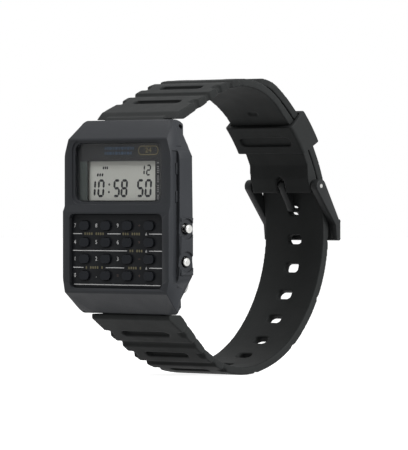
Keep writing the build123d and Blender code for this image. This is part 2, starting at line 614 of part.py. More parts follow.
# long half
face_l = strap_face(low, 1, (front_y, -shoulder), (heel_y_l, -shoulder), cen_a, arc_a_r)
long = side(face_l, -strap_w / 2, strap_w / 2)
long &= extrude(Plane.XY.offset(-2 * loop_r) * plan_l(), amount=4 * loop_r)
long = ribs(long, low, -1, False)
s_hole = low.length() - loop_r * deg(tip_turn - hole_turn)
for i in range(-holes_above, holes_below + 1):
    pl = surface(low, s_hole - i * hole_pitch, -1)
    if i > 0 and i % 2:
        lift = cross_r - cross_t
        long -= rod(pl.origin.Y + lift * pl.z_dir.Y, pl.origin.Z + lift * pl.z_dir.Z, cross_r, -strap_w, strap_w)
    hole = chamfer(Rectangle(hole_w, hole_l).vertices(), hole_cut)
    long -= extrude(pl.offset(-2 * strap_t) * hole, amount=3 * strap_t)
end = surface(low, low.length(), -1).offset(-2 * strap_t)
tip = RectangleRounded(strap_end_w, 4 * tip_corner_r, tip_corner_r)
trim = Pos(0, tip_corner_r / 2) * Rectangle(2 * strap_w, tip_corner_r) - Pos(0, 2 * tip_corner_r) * tip
long -= extrude(end * trim, amount=4 * strap_t)
long += tab(-1, front_y, heel_y_l)
long -= rod(bar_y, -bar_z, bar_r + bar_gap, -strap_w, strap_w)
save(long, "strap_lower")

# buckle: spring bar, frame, tongue
arm_in = strap_end_w / 2 + frame_gap
arm_out = arm_in + arm_w
bar = rod(*pin, bar_r, -arm_in + 3 * slot_clear, arm_in - 3 * slot_clear) + rod(*pin, tip_r, -arm_out, arm_out)
save(bar, "spring_bar_buckle")


def hull(*rounds):
    edges = []
    for (y, z), r in rounds:
        edges += (Pos(y, z) * Circle(r)).edges()
    return make_hull(edges)


arm = hull((pin, eye_r), (elbow, elbow_r))
bridge = hull(((plate_y, plate_top), plate_r), ((plate_y, plate_bot), plate_r))
knee = hull((elbow, elbow_r), ((plate_y, plate_bot), plate_r))
buckle = both(arm + knee, arm_in, arm_out) + side(bridge, -arm_out, arm_out)
notch = side(poly((plate_y, plate_top + eye_r), (plate_y + case_t, plate_top + eye_r),
                  (plate_y + case_t, plate_bot - eye_r), (plate_y, plate_bot - eye_r)),
             -plate_notch_w / 2, plate_notch_w / 2)
buckle -= notch
buckle -= rod(*pin, tip_r + tip_gap, -2 * arm_out, 2 * arm_out)
save(buckle, "buckle_frame")

limbs = hull((pin, tongue_eye), (tongue_path[0], tongue_r))
for a, b in zip(tongue_path, tongue_path[1:]):
    limbs += hull((a, tongue_r), (b, tongue_r))
tongue = side(limbs, -tongue_w / 2, tongue_w / 2)
tongue -= rod(*pin, bar_r + bar_gap, -tongue_w, tongue_w)
save(tongue, "buckle_tongue")

# keeper: a resin band round both layers
r_in = outer_u - strap_t
k0, k1 = keep_turn - keep_half_turn, keep_turn + keep_half_turn


def sector(ra, rb, a0, a1):
    p = [on_loop(r, a) for r, a in ((ra, a0), (rb, a0), (rb, (a0 + a1) / 2), (rb, a1), (ra, a1), (ra, (a0 + a1) / 2))]
    ring_edges = Line(p[0], p[1]) + ThreePointArc(p[1], p[2], p[3]) + Line(p[3], p[4]) + ThreePointArc(p[4], p[5], p[0])
    return make_face(ring_edges.edges())


keep_half_w = strap_end_w / 2 + keep_side_gap + keep_side
band = side(sector(r_in - keep_gap - keep_wall, loop_r + keep_gap + keep_wall, k0, k1), -keep_half_w, keep_half_w)
long_edges = band.edges().filter_by(GeomType.CIRCLE)
band = fillet(long_edges, keep_fillet)
inner_w = strap_end_w / 2 + keep_side_gap
band -= side(sector(r_in - keep_gap, loop_r + keep_gap, k0 - keep_half_turn, k1 + keep_half_turn), -inner_w, inner_w)
slot_turn = keep_turn - math.degrees(keep_slot_low / r_in)
mid_y, mid_z = on_loop(r_in - keep_gap - keep_wall, slot_turn)
inner_plane = Plane(origin=(0, mid_y, mid_z), x_dir=(1, 0, 0),
                    z_dir=(0, -math.cos(deg(slot_turn)), -math.sin(deg(slot_turn))))
band -= extrude(inner_plane.offset(-keep_slot_t) * pill(keep_slot_w, keep_slot_h), amount=2 * keep_slot_t)
save(band, "strap_keeper")
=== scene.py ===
# %% [markdown]
# A calculator watch, buckled as if worn.
# The CAD frame gives every solid its size and place.  This script gives them their finish:
# rounded moulded edges, printed lines and figures, a lit display, steel and soft resin.
# Lengths are in metres; +Z points to 12 o'clock and the face looks along -Y.

import math

import bmesh
import bpy
from mathutils import Matrix, Vector
from mathutils.bvhtree import BVHTree


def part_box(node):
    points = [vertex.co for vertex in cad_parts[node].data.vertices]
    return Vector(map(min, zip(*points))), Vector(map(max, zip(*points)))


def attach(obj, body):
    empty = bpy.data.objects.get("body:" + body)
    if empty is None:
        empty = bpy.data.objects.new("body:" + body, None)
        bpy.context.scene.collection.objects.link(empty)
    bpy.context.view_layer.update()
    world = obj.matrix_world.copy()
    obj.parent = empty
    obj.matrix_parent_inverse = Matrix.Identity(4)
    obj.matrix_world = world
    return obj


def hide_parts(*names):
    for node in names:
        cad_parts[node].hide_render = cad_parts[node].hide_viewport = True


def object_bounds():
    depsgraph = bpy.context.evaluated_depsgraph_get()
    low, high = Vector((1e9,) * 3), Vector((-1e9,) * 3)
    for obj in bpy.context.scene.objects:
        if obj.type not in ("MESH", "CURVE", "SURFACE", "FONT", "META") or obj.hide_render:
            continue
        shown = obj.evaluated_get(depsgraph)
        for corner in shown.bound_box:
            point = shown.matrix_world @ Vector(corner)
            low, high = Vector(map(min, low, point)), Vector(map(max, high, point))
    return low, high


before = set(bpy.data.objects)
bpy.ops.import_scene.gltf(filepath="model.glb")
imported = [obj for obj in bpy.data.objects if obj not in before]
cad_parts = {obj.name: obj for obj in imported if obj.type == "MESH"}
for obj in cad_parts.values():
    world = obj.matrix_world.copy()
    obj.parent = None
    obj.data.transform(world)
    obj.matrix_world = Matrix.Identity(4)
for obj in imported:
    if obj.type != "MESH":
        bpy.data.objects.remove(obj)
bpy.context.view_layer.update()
scene = bpy.context.scene
MM = 0.001
print("CAD nodes:", len(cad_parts))

# %% [markdown]
# Shader and geometry maths are long chains of small nodes.  They could be wired by hand, but
# Python sums are shorter and easier to check, so one class wraps a node's output and turns
# + - * into Math nodes.  Its make method adds any other node.

# %% A value that flows between nodes


def feed(tree, socket, value):
    """Links a Flow to a socket, or sets the socket's own value."""
    if isinstance(value, Flow):
        tree.links.new(value.out, socket)
    else:
        socket.default_value = value


class Flow:
    """One output of a node, usable in Python sums."""

    def __init__(self, tree, out):
        self.tree, self.out = tree, out

    def make(self, kind, settings=None, sockets=None, out=0):
        """Any node: its type, its settings, then the values or links of its sockets."""
        node = self.tree.nodes.new(kind)
        for name, value in (settings or {}).items():
            setattr(node, name, value)
        for name, value in (sockets or {}).items():
            feed(self.tree, node.inputs[name], value)
        return Flow(self.tree, node.outputs[out])

    def maths(self, operation, a, b=0.0):
        return self.make("ShaderNodeMath", {"operation": operation}, {0: a, 1: b})

    def __add__(self, other):
        return self.maths("ADD", self, other)

    def __radd__(self, other):
        return self.maths("ADD", other, self)

    def __sub__(self, other):
        return self.maths("SUBTRACT", self, other)

    def __rsub__(self, other):
        return self.maths("SUBTRACT", other, self)

    def __mul__(self, other):
        return self.maths("MULTIPLY", self, other)

    def __rmul__(self, other):
        return self.maths("MULTIPLY", other, self)


print("sums that make nodes: + - *")

# %% [markdown]
# Every finish starts from the same three things: a Principled shader, the object's own
# coordinates, and noise at several sizes.  The coordinates are metres, so a noise scale of
# 3000 gives grains of about a third of a millimetre.

# %% The blank material
MIX_SHARE, MIX_A, MIX_B, MIX_RESULT = 0, 6, 7, 2    # the Mix node's sockets for colours
HALF = 0.5                                          # the middle of a noise's values


def colour(r, g, b):
    """A colour for a socket: three shares of light, fully opaque."""
    return (r, g, b, 1.0)


def blank(name, **constants):
    """A new material: its tree, its shader, and the object coordinates."""
    material = bpy.data.materials.new(name)
    material.use_nodes = True
    tree = material.node_tree
    shader = tree.nodes["Principled BSDF"]
    for socket, value in constants.items():
        shader.inputs[socket.replace("_", " ")].default_value = value
    place = Flow(tree, tree.nodes.new("ShaderNodeTexCoord").outputs["Object"])
    return material, tree, shader, place


def noise(place, scale, detail=2.0, rough=0.5):
    """Soft random values round a half; detail adds finer layers, rough makes them stronger."""
    sockets = {"Vector": place, "Scale": scale, "Detail": detail, "Roughness": rough}
    return place.make("ShaderNodeTexNoise", {}, sockets)


def stretched(place, scales):
    """The coordinates times a scale for each axis, so that noise runs out into lines."""
    return place.make("ShaderNodeMapping", {}, {"Vector": place, "Scale": scales})


def mixed(share, a, b):
    """From colour a to colour b while share goes from 0 to 1."""
    sockets = {MIX_SHARE: share, MIX_A: a, MIX_B: b}
    return share.make("ShaderNodeMix", {"data_type": "RGBA"}, sockets, out=MIX_RESULT)


def bumped(height, strength, distance):
    """A normal that follows a height without moving the surface."""
    sockets = {"Height": height, "Strength": strength, "Distance": distance}
    return height.make("ShaderNodeBump", {}, sockets)


print("materials so far:", len(bpy.data.materials))

# %% [markdown]
# Resin: the case, strap, keys and buckle are all black resins, but not the same black.
# The case is a hard charcoal with a satin spark finish.  The strap is softer and duller.
# Moulded resin has a fine grain from the etched mould, a slow drift of tone from handling,
# and gloss that varies a little.  One function makes them all, so that they stay related.
# The copies of the strap and keeper carry an attribute that says how far into a slot each
# point lies, and painted shade darkens the resin's colour there, because the lamps alone
# leave the slots too grey.

# %% Resins
DRIFT_SCALE, DRIFT_SHARE = 90.0, 0.65    # the slow change of tone, and its share of the whole
SHEEN_SCALE, SHEEN_RANGE = 260.0, 0.16   # the change of gloss over a few millimetres
FINER, FINER_SHARE = 3.0, 0.5            # a second grain on the first
GRAIN_STRENGTH = 0.55
# Painted shade: the attribute that says how far into a slot a point lies, and the near black that the
# resin's colour is darkened toward there.
SLOT_SHADE_ATTRIBUTE, PAINTED_SLOT_SHADE = "slot_shade", colour(0.0015, 0.0017, 0.0017)


def resin(name, dark, pale, rough, grain, depth, coat=0.0, gloss=0.10, paint_slot_shade=False):
    """Moulded resin from dark to pale; grain is the texture's scale and depth its height."""
    material, tree, shader, place = blank(name, Specular_IOR_Level=gloss, Coat_Roughness=0.35,
                                          Coat_Weight=coat)
    drift = noise(place, DRIFT_SCALE, detail=4.0, rough=0.6)
    speck = noise(place, grain, detail=3.0, rough=0.65)
    finer = noise(place, grain * FINER, detail=1.0)
    sheen = noise(place, SHEEN_SCALE, detail=3.0) - HALF
    share = drift * DRIFT_SHARE + speck * (1.0 - DRIFT_SHARE)
    tone = mixed(share, colour(*dark), colour(*pale))
    # Painted shade: inside slots the colour goes toward near black, where the shade falls.
    if paint_slot_shade:
        slot_shade = place.make("ShaderNodeAttribute", {"attribute_name": SLOT_SHADE_ATTRIBUTE}, {}, out="Fac")
        tone = mixed(slot_shade, tone, PAINTED_SLOT_SHADE)
    feed(tree, shader.inputs["Base Color"], tone)
    feed(tree, shader.inputs["Roughness"], rough + sheen * SHEEN_RANGE)
    feed(tree, shader.inputs["Normal"], bumped(speck + finer * FINER_SHARE, GRAIN_STRENGTH, depth))
    return material


case_resin = resin("case satin resin", dark=(0.017, 0.0185, 0.021), pale=(0.031, 0.033, 0.037),
                   rough=0.46, grain=3200.0, depth=0.02 * MM)
# The strap resin also carries the painted shade in its slots.
strap_resin = resin("soft strap resin with painted slot shade", dark=(0.013, 0.0140, 0.0140), pale=(0.026, 0.0275, 0.0275),
                    rough=0.58, grain=2400.0, depth=0.03 * MM, gloss=0.06, paint_slot_shade=True)
key_resin = resin("key cap resin", dark=(0.007, 0.008, 0.010), pale=(0.016, 0.018, 0.022),
                  rough=0.36, grain=4200.0, depth=0.01 * MM, coat=0.04, gloss=0.05)
buckle_resin = resin("hard buckle resin", dark=(0.014, 0.015, 0.0155), pale=(0.030, 0.0315, 0.032),
                     rough=0.42, grain=3000.0, depth=0.01 * MM, gloss=0.08)
plate_resin = resin("keypad plate paint", dark=(0.006, 0.0065, 0.0075), pale=(0.013, 0.014, 0.016),
                    rough=0.42, grain=3600.0, depth=0.01 * MM, gloss=0.06)
rubber = resin("silicone rubber", dark=(0.10, 0.10, 0.11), pale=(0.16, 0.16, 0.17),
               rough=0.6, grain=1800.0, depth=0.02 * MM)
holder_resin = resin("natural holder resin", dark=(0.45, 0.43, 0.38), pale=(0.60, 0.58, 0.52),
                     rough=0.5, grain=1500.0, depth=0.01 * MM)
epoxy = resin("potting epoxy", dark=(0.004, 0.004, 0.004), pale=(0.010, 0.010, 0.010),
              rough=0.25, grain=800.0, depth=0.01 * MM, coat=0.4)
print("materials so far:", len(bpy.data.materials))

# %% [markdown]
# Steel: the back is brushed along one direction, so its noise is far coarser along that
# direction than across it.  The pushers are turned from drawn bar, and the same function
# with other scales gives them fine marks along their axis.  An image of brushed metal would
# do as well, but noise needs no file and has no seams.

# %% Metals
MARK_SHARE, MARK_RANGE, MARK_STRENGTH = 0.6, 0.18, 0.35
CLOUD_SCALE, CLOUD_RANGE = 120.0, 0.1


def metal(name, dark, pale, rough, scales, depth=0.01 * MM):
    """Satin metal; its marks run along the axis with the smallest of the three scales."""
    material, tree, shader, place = blank(name, Metallic=1.0)
    marks = noise(stretched(place, scales), scale=1.0, detail=4.0, rough=0.7)
    cloud = noise(place, CLOUD_SCALE, detail=3.0)
    share = marks * MARK_SHARE + cloud * (1.0 - MARK_SHARE)
    spread = (marks - HALF) * MARK_RANGE + (cloud - HALF) * CLOUD_RANGE
    feed(tree, shader.inputs["Base Color"], mixed(share, colour(*dark), colour(*pale)))
    feed(tree, shader.inputs["Roughness"], rough + spread)
    feed(tree, shader.inputs["Normal"], bumped(marks, MARK_STRENGTH, depth))
    return material


back_steel = metal("brushed back steel", dark=(0.26, 0.26, 0.255), pale=(0.44, 0.44, 0.43),
                   rough=0.34, scales=(6000.0, 6000.0, 90.0))
turned_steel = metal("turned pusher steel", dark=(0.40, 0.40, 0.39), pale=(0.62, 0.62, 0.60),
                     rough=0.30, scales=(400.0, 5000.0, 5000.0))
spring_steel = metal("drawn spring steel", dark=(0.38, 0.38, 0.38), pale=(0.60, 0.60, 0.60),
                     rough=0.32, scales=(300.0, 4000.0, 4000.0))
brass = metal("buzzer brass", dark=(0.55, 0.36, 0.13), pale=(0.78, 0.56, 0.26),
              rough=0.33, scales=(900.0, 900.0, 900.0))
foil = metal("reflector foil", dark=(0.6, 0.6, 0.58), pale=(0.8, 0.8, 0.78),
             rough=0.2, scales=(500.0, 500.0, 500.0))
print("materials so far:", len(bpy.data.materials))

# %% [markdown]
# Window and display.  The window is clear acrylic: mostly see-through, with a soft shine and
# faint hairline marks that only change its roughness.  Real transmission would be slower and
# bend the display behind it, so a low alpha does the work.  The display cell is a pale
# grey-green glass with a very fine mottle.

# %% Clear and lit finishes
CLEAR_ALPHA, SMEAR_SCALE, SMEAR_RANGE = 0.06, 150.0, 0.03
CLEAR_ROUGH, HAIR_RANGE, HAIR_SCALES = 0.06, 0.10, (900.0, 900.0, 2400.0)
CELL_ROUGH, MOTTLE_RANGE, MOTTLE_SCALE = 0.42, 0.12, 5200.0
CELL_DRIFT_SCALE = 60.0


def window_acrylic():
    """Nearly clear, a little smeared, with hairline marks."""
    material, tree, shader, place = blank("window acrylic", IOR=1.49, Specular_IOR_Level=0.25)
    shader.inputs["Base Color"].default_value = colour(0.03, 0.032, 0.034)
    hair = noise(stretched(place, HAIR_SCALES), scale=1.0, detail=5.0, rough=0.8)
    smear = noise(place, SMEAR_SCALE) - HALF
    feed(tree, shader.inputs["Roughness"], CLEAR_ROUGH + hair * HAIR_RANGE)
    feed(tree, shader.inputs["Alpha"], CLEAR_ALPHA + smear * SMEAR_RANGE)
    return material


def display_cell():
    """Pale grey-green glass, half mottle and half slow drift."""
    material, tree, shader, place = blank("liquid crystal cell", Specular_IOR_Level=0.3)
    mottle = noise(place, MOTTLE_SCALE)
    drift = noise(place, CELL_DRIFT_SCALE)
    share = (mottle + drift) * HALF
    feed(tree, shader.inputs["Base Color"],
         mixed(share, colour(0.45, 0.46, 0.425), colour(0.62, 0.625, 0.58)))
    feed(tree, shader.inputs["Roughness"], CELL_ROUGH + mottle * MOTTLE_RANGE)
    return material


window_clear = window_acrylic()
lcd_glass = display_cell()
print("clear and lit:", window_clear.name, lcd_glass.name)

# %% [markdown]
# Prints and the circuit board.  Prints are screen ink, slightly uneven in cover, so each ink
# is a noise between two near tones.  The board is green lacquer over woven glass fibre, and
# the weave is the product of two sine waves.

# %% Printed finishes
WEAVE_SCALE = 9000.0
LACQUER_ROUGH, WEAVE_RANGE = 0.35, 0.08
INK_ROUGH, COVER_RANGE = 0.5, 0.2


def ink(name, dark, pale):
    """Screen ink, a little uneven in cover; the same finish also tones the wall band beside the display,
    with painted shade.
    """
    material, tree, shader, place = blank(name, Specular_IOR_Level=0.3)
    cover = noise(place, MOTTLE_SCALE, detail=3.0, rough=0.7)
    feed(tree, shader.inputs["Base Color"], mixed(cover, colour(*dark), colour(*pale)))
    feed(tree, shader.inputs["Roughness"], INK_ROUGH + (cover - HALF) * COVER_RANGE)
    return material


def wave(angle):
    return angle.maths("SINE", angle)


def board_laminate():
    """Green lacquer over woven glass fibre."""
    material, tree, shader, place = blank("fibreglass board", Specular_IOR_Level=0.5)
    x = place.make("ShaderNodeSeparateXYZ", {}, {0: place}, out="X")
    z = place.make("ShaderNodeSeparateXYZ", {}, {0: place}, out="Z")
    weave = wave(x * WEAVE_SCALE) * wave(z * WEAVE_SCALE)
    feed(tree, shader.inputs["Base Color"],
         mixed(weave * HALF + HALF, colour(0.012, 0.11, 0.035), colour(0.03, 0.20, 0.07)))
    feed(tree, shader.inputs["Roughness"], LACQUER_ROUGH + weave * WEAVE_RANGE)
    return material


lcd_ink = ink("lit segment ink", (0.006, 0.007, 0.009), (0.014, 0.015, 0.018))
mask_black = ink("mask black", (0.010, 0.011, 0.012), (0.018, 0.019, 0.020))
white_ink = ink("white ink", (0.42, 0.42, 0.42), (0.58, 0.58, 0.58))
grey_ink = ink("grey ink", (0.25, 0.25, 0.25), (0.36, 0.36, 0.36))
blue_ink = ink("blue ink", (0.030, 0.055, 0.095), (0.050, 0.085, 0.14))
gold_ink = ink("gold ink", (0.15, 0.125, 0.055), (0.25, 0.21, 0.10))
olive_ink = ink("olive ink", (0.070, 0.062, 0.030), (0.115, 0.10, 0.052))
# The grey-green band stands in for the left wall of the display's recess: its tone is the wall's colour
# with painted shade.
shaded_wall_band_tone = ink("grey-green wall band with painted shade", (0.035, 0.044, 0.041), (0.048, 0.058, 0.054))
red_ink = ink("dim red ink", (0.032, 0.018, 0.014), (0.050, 0.026, 0.020))
laminate = board_laminate()
print("materials so far:", len(bpy.data.materials))

# %% [markdown]
# Small helpers for objects: a new object from a mesh, the finished mesh of an object with
# modifiers, and the last step that every piece shares - it takes its material, rides on a
# body and stands in for its CAD node.

# %% Objects


def new_object(name, mesh):
    obj = bpy.data.objects.new(name, mesh)
    scene.collection.objects.link(obj)
    return obj


def plain(obj, name):
    """The evaluated object as a plain mesh object; the first one is removed."""
    graph = bpy.context.evaluated_depsgraph_get()
    mesh = bpy.data.meshes.new_from_object(obj.evaluated_get(graph))
    bpy.data.objects.remove(obj)
    made = new_object(name, mesh)
    mesh.name = name
    return made


def fitted(obj, material, body, node):
    """Last step of a piece: one material, its body, the CAD node that it stands for."""
    obj.data.materials.clear()
    obj.data.materials.append(material)
    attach(obj, body)
    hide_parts(node)
    print(obj.name, len(obj.data.polygons), "faces on", body)
    return obj


def all_smooth(mesh):
    mesh.polygons.foreach_set("use_smooth", [True] * len(mesh.polygons))


def surface_of(mesh):
    """The mesh as a search tree, for the nearest place on it or the first hit of a ray."""
    return BVHTree.FromPolygons([v.co for v in mesh.vertices], [p.vertices for p in mesh.polygons])


# %% [markdown]
# A moulded part never has a knife-sharp edge.  Drawing each rounding in CAD would be slow,
# so a welded copy of the solid gets a small bevel, which hardens the normals to keep flat
# faces flat.  Edges shorter than a given length, and knife-sharp wedges, get none: a bevel
# overshoots there.  A point that it still throws off the solid goes back to the nearest
# place on it, and a normal that leans away from its own face is turned to it, or it would
# show black.

# %% Rounded copies
JOIN = 0.02 * MM                                      # corners nearer than this are one point
LEAST_TURN, OUTER_TURN, MOST_TURN = 30.0, 70.0, 115.0    # degrees between two faces
LONG_EDGE = 2 * MM
FAR = 1.0                                             # longer and farther than the watch
THROWN_SHARE = 0.45                                   # of the radius; farther off is thrown
LEAN_LIMIT = 0.3                                      # cosine between a normal and its face


def welded(node, name, shortest, soft=1.0, corner_z=FAR):
    """A copy of a CAD solid with its triangles joined; the edges to round are marked."""
    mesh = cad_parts[node].data.copy()
    work = bmesh.new()
    work.from_mesh(mesh)
    bmesh.ops.remove_doubles(work, verts=work.verts, dist=JOIN)
    weight = work.edges.layers.float.new("bevel_weight_edge")
    for edge in work.edges:
        turned = math.degrees(edge.calc_face_angle(0.0))
        length = edge.calc_length()
        at = (edge.verts[0].co + edge.verts[1].co) * 0.5
        outer = length > LONG_EDGE and abs(at.z) > corner_z and turned < OUTER_TURN
        eased = LEAST_TURN < turned < MOST_TURN and length > shortest
        edge[weight] = (1.0 if outer else soft) if eased else 0.0
        edge.smooth = turned < LEAST_TURN or edge[weight] > 0.0
    work.to_mesh(mesh)
    work.free()
    all_smooth(mesh)
    return new_object(name + "_raw", mesh)


def points_put_back(mesh, solid, reach):
    """Moves points farther than reach from the solid to the nearest place on it."""
    surface = surface_of(solid)
    count = 0
    for v in mesh.vertices:
        nearest, _, _, away = surface.find_nearest(v.co)
        if away > reach:
            v.co, count = nearest, count + 1
    return count


def normals_turned(mesh):
    """Gives corners whose normal leans away from their face that face's normal."""
    leaning = [tuple(n.vector) for n in mesh.corner_normals]
    count = 0
    for face in mesh.polygons:
        for corner in face.loop_indices:
            if face.normal.dot(Vector(leaning[corner])) < LEAN_LIMIT:
                leaning[corner], count = tuple(face.normal), count + 1
    mesh.normals_split_custom_set(leaning)
    return count


def rounded(node, name, radius, shortest=0.1 * MM, steps=3, soft=1.0, corner_z=FAR):
    """Radius for long outer edges past corner_z, and radius times soft for all others."""
    obj = welded(node, name, shortest, soft, corner_z)
    bevel = obj.modifiers.new("edge", "BEVEL")
    bevel.width, bevel.segments, bevel.limit_method = radius, steps, "WEIGHT"
    bevel.use_clamp_overlap, bevel.harden_normals = False, True
    made = plain(obj, name)
    moved = points_put_back(made.data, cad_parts[node].data, THROWN_SHARE * radius)
    turned = normals_turned(made.data)
    print(name, "points put back on the solid:", moved, "normals turned:", turned)
    return made


# %% [markdown]
# The strap is softer still: every rib, groove and scallop of it runs out round.  A bevel
# would tangle between them, so its copy is built anew from small cubes and smoothed a few
# times, which rounds all edges alike and leaves the flats where they were.  Two of three
# faces are then spared, most of them on the flats.  The long half's free holes are drawn
# wider first: through the strap's thickness they look narrow, and on the watch they are
# broad and bright.  Last, each point sends out slanted rays, and the share that soon meets
# the strap again says how far into a slot it lies; the resin's colour is darkened by that
# share, as painted shade.

# %% Soft copies
RAYS, RAY_UP, RAY_SIDE = 8, 0.5, 0.87    # how many, and their lean away from the normal
RAY_START, RAY_REACH = 0.02 * MM, 2.2 * MM
OPEN_SHARE = 0.2                         # of the rays, which a plain fold may stop too
HOLES_BELOW = -2 * MM                    # the free holes lie below the buckle's tongue


def slot_shade_stored(mesh):
    """Stores at each point how far into a slot it lies, from 0 to 1: its share of painted shade."""
    surface = surface_of(mesh)
    turns = [2 * math.pi * k / RAYS for k in range(RAYS)]
    slot_shade = []
    for v in mesh.vertices:
        up = v.normal
        side = up.orthogonal().normalized()
        other = up.cross(side)
        start = v.co + up * RAY_START
        met = 0
        for turn in turns:
            aim = up * RAY_UP + (side * math.cos(turn) + other * math.sin(turn)) * RAY_SIDE
            met += surface.ray_cast(start, aim, RAY_REACH)[0] is not None
        slot_shade.append(max(0.0, met / RAYS - OPEN_SHARE) / (1.0 - OPEN_SHARE))
    mesh.attributes.new(SLOT_SHADE_ATTRIBUTE, "FLOAT", "POINT").data.foreach_set("value", slot_shade)


def softened(node, name, cube, passes, kept=0.35, hole_edge=0.0, wider=1.0):
    """Cubes of one size, smoothed and thinned; holes within hole_edge of x = 0 get wider."""
    obj = welded(node, name, FAR)
    for v in obj.data.vertices:
        if abs(v.co.x) < hole_edge and v.co.z < HOLES_BELOW:
            v.co.x *= wider
    cubes = obj.modifiers.new("cubes", "REMESH")
    cubes.mode, cubes.voxel_size, cubes.use_smooth_shade = "VOXEL", cube, True
    ease = obj.modifiers.new("ease", "SMOOTH")
    ease.factor, ease.iterations = 0.5, passes
    spare = obj.modifiers.new("spare", "DECIMATE")
    spare.decimate_type, spare.ratio = "COLLAPSE", kept
    made = plain(obj, name)
    all_smooth(made.data)
    # painted shade: how far into a slot each point lies sets how dark the resin's colour is there
    slot_shade_stored(made.data)
    print(name, "triangles:", sum(len(p.vertices) - 2 for p in made.data.polygons))
    return made


# %% [markdown]
# Case, back, panel and window.  Their solids already have every real step, so each only
# needs its edges eased: 0.36 mm on the long outer edges of the case, a third of that on its
# others, and less on the thin parts.

# %% Case pieces
case_shell = rounded("case_body", "case_shell", 0.36 * MM, shortest=0.2 * MM, steps=4,
                     soft=0.33, corner_z=15 * MM)
fitted(case_shell, case_resin, "case", "case_body")
fitted(rounded("case_back", "back_cover", 0.06 * MM), back_steel, "case", "case_back")
fitted(rounded("keypad_plate", "key_panel", 0.05 * MM), plate_resin, "case", "keypad_plate")
fitted(rounded("display_window", "clear_window", 0.10 * MM), window_clear, "case",
       "display_window")

# %% [markdown]
# Strap, keeper and buckle.  The two halves and the keeper are soft copies.  The keeper is
# small, so its cubes are smaller too.  The buckle is a hard moulding, so its frame and
# tongue get a bevel as the case does.

# %% Strap pieces
STRAP_CUBE, STRAP_PASSES = 0.22 * MM, 9
HOLE_EDGE, HOLE_WIDER = 1.6 * MM, 1.4
strap_short = softened("strap_upper", "strap_short", STRAP_CUBE, STRAP_PASSES)
fitted(strap_short, strap_resin, "upper_strap", "strap_upper")
strap_long = softened("strap_lower", "strap_long", STRAP_CUBE, STRAP_PASSES,
                      hole_edge=HOLE_EDGE, wider=HOLE_WIDER)
fitted(strap_long, strap_resin, "lower_strap", "strap_lower")
keeper_band = softened("strap_keeper", "keeper_band", 0.16 * MM, 8)
fitted(keeper_band, strap_resin, "keeper", "strap_keeper")
buckle_bow = rounded("buckle_frame", "buckle_bow", 0.15 * MM, shortest=0.2 * MM)
fitted(buckle_bow, buckle_resin, "buckle", "buckle_frame")
buckle_prong = rounded("buckle_tongue", "buckle_prong", 0.12 * MM)
fitted(buckle_prong, buckle_resin, "tongue", "buckle_tongue")

# %% [markdown]
# Geometry Nodes trees.  Three things repeat on this watch: printed bars (display segments,
# lines and dashes), pill-shaped key caps, and the screws of the back.  Each gets a tree with
# named sizes.  One helper starts a tree, one ends it, and one runs it on a set of points and
# keeps only the plain mesh, because the export doesn't carry instances.

# %% Trees and how they are run


def start_tree(name, sizes):
    """A geometry tree with named number inputs: the tree, its inputs as Flows, and their ids."""
    tree = bpy.data.node_groups.new(name, "GeometryNodeTree")
    tree.interface.new_socket("Geometry", in_out="OUTPUT", socket_type="NodeSocketGeometry")
    tree.interface.new_socket("Geometry", in_out="INPUT", socket_type="NodeSocketGeometry")
    ids = {}
    for label, value in sizes.items():
        socket = tree.interface.new_socket(label, in_out="INPUT", socket_type="NodeSocketFloat")
        socket.default_value = value
        ids[label] = socket.identifier
    ink_input = tree.interface.new_socket("Ink", in_out="INPUT", socket_type="NodeSocketMaterial")
    ids["Ink"] = ink_input.identifier
    entry = tree.nodes.new("NodeGroupInput")
    flows = {socket.name: Flow(tree, socket) for socket in entry.outputs if socket.name}
    return tree, flows, ids


def both(tree, first, second):
    """Two geometries as one."""
    join = second.make("GeometryNodeJoinGeometry", {}, {0: first})
    tree.links.new(second.out, join.out.node.inputs[0])
    return join


def end_tree(tree, shape, material):
    """Instances become real faces, get their material and leave the tree."""
    real = shape.make("GeometryNodeRealizeInstances", {}, {0: shape})
    done = real.make("GeometryNodeSetMaterial", {}, {"Geometry": real, "Material": material})
    leave = tree.nodes.new("NodeGroupOutput")
    tree.links.new(done.out, leave.inputs[0])


def run_tree(tree, ids, name, points, material, sizes):
    """points: (x, y, z, turn) in metres and radians.  Gives the finished plain object."""
    mesh = bpy.data.meshes.new(name)
    mesh.from_pydata([p[:3] for p in points], [], [])
    turn = mesh.attributes.new("turn", "FLOAT", "POINT")
    turn.data.foreach_set("value", [p[3] for p in points])
    obj = new_object(name + "_raw", mesh)
    modifier = obj.modifiers.new("tree", "NODES")
    modifier.node_group = tree
    for label, value in sizes.items():
        modifier[ids[label]] = value
    modifier[ids["Ink"]] = material
    made = plain(obj, name)
    made.data.materials.clear()
    made.data.materials.append(material)
    made.data.polygons.foreach_set("material_index", [0] * len(made.data.polygons))
    return made


# %% [markdown]
# The bar: a rectangle with cut corners, filled and pushed out to the ink's thickness, set at
# every point and turned by that point's own angle.  With corners cut by half the width it is
# the pointed segment of a display figure, and with hardly any cut it is a printed line.

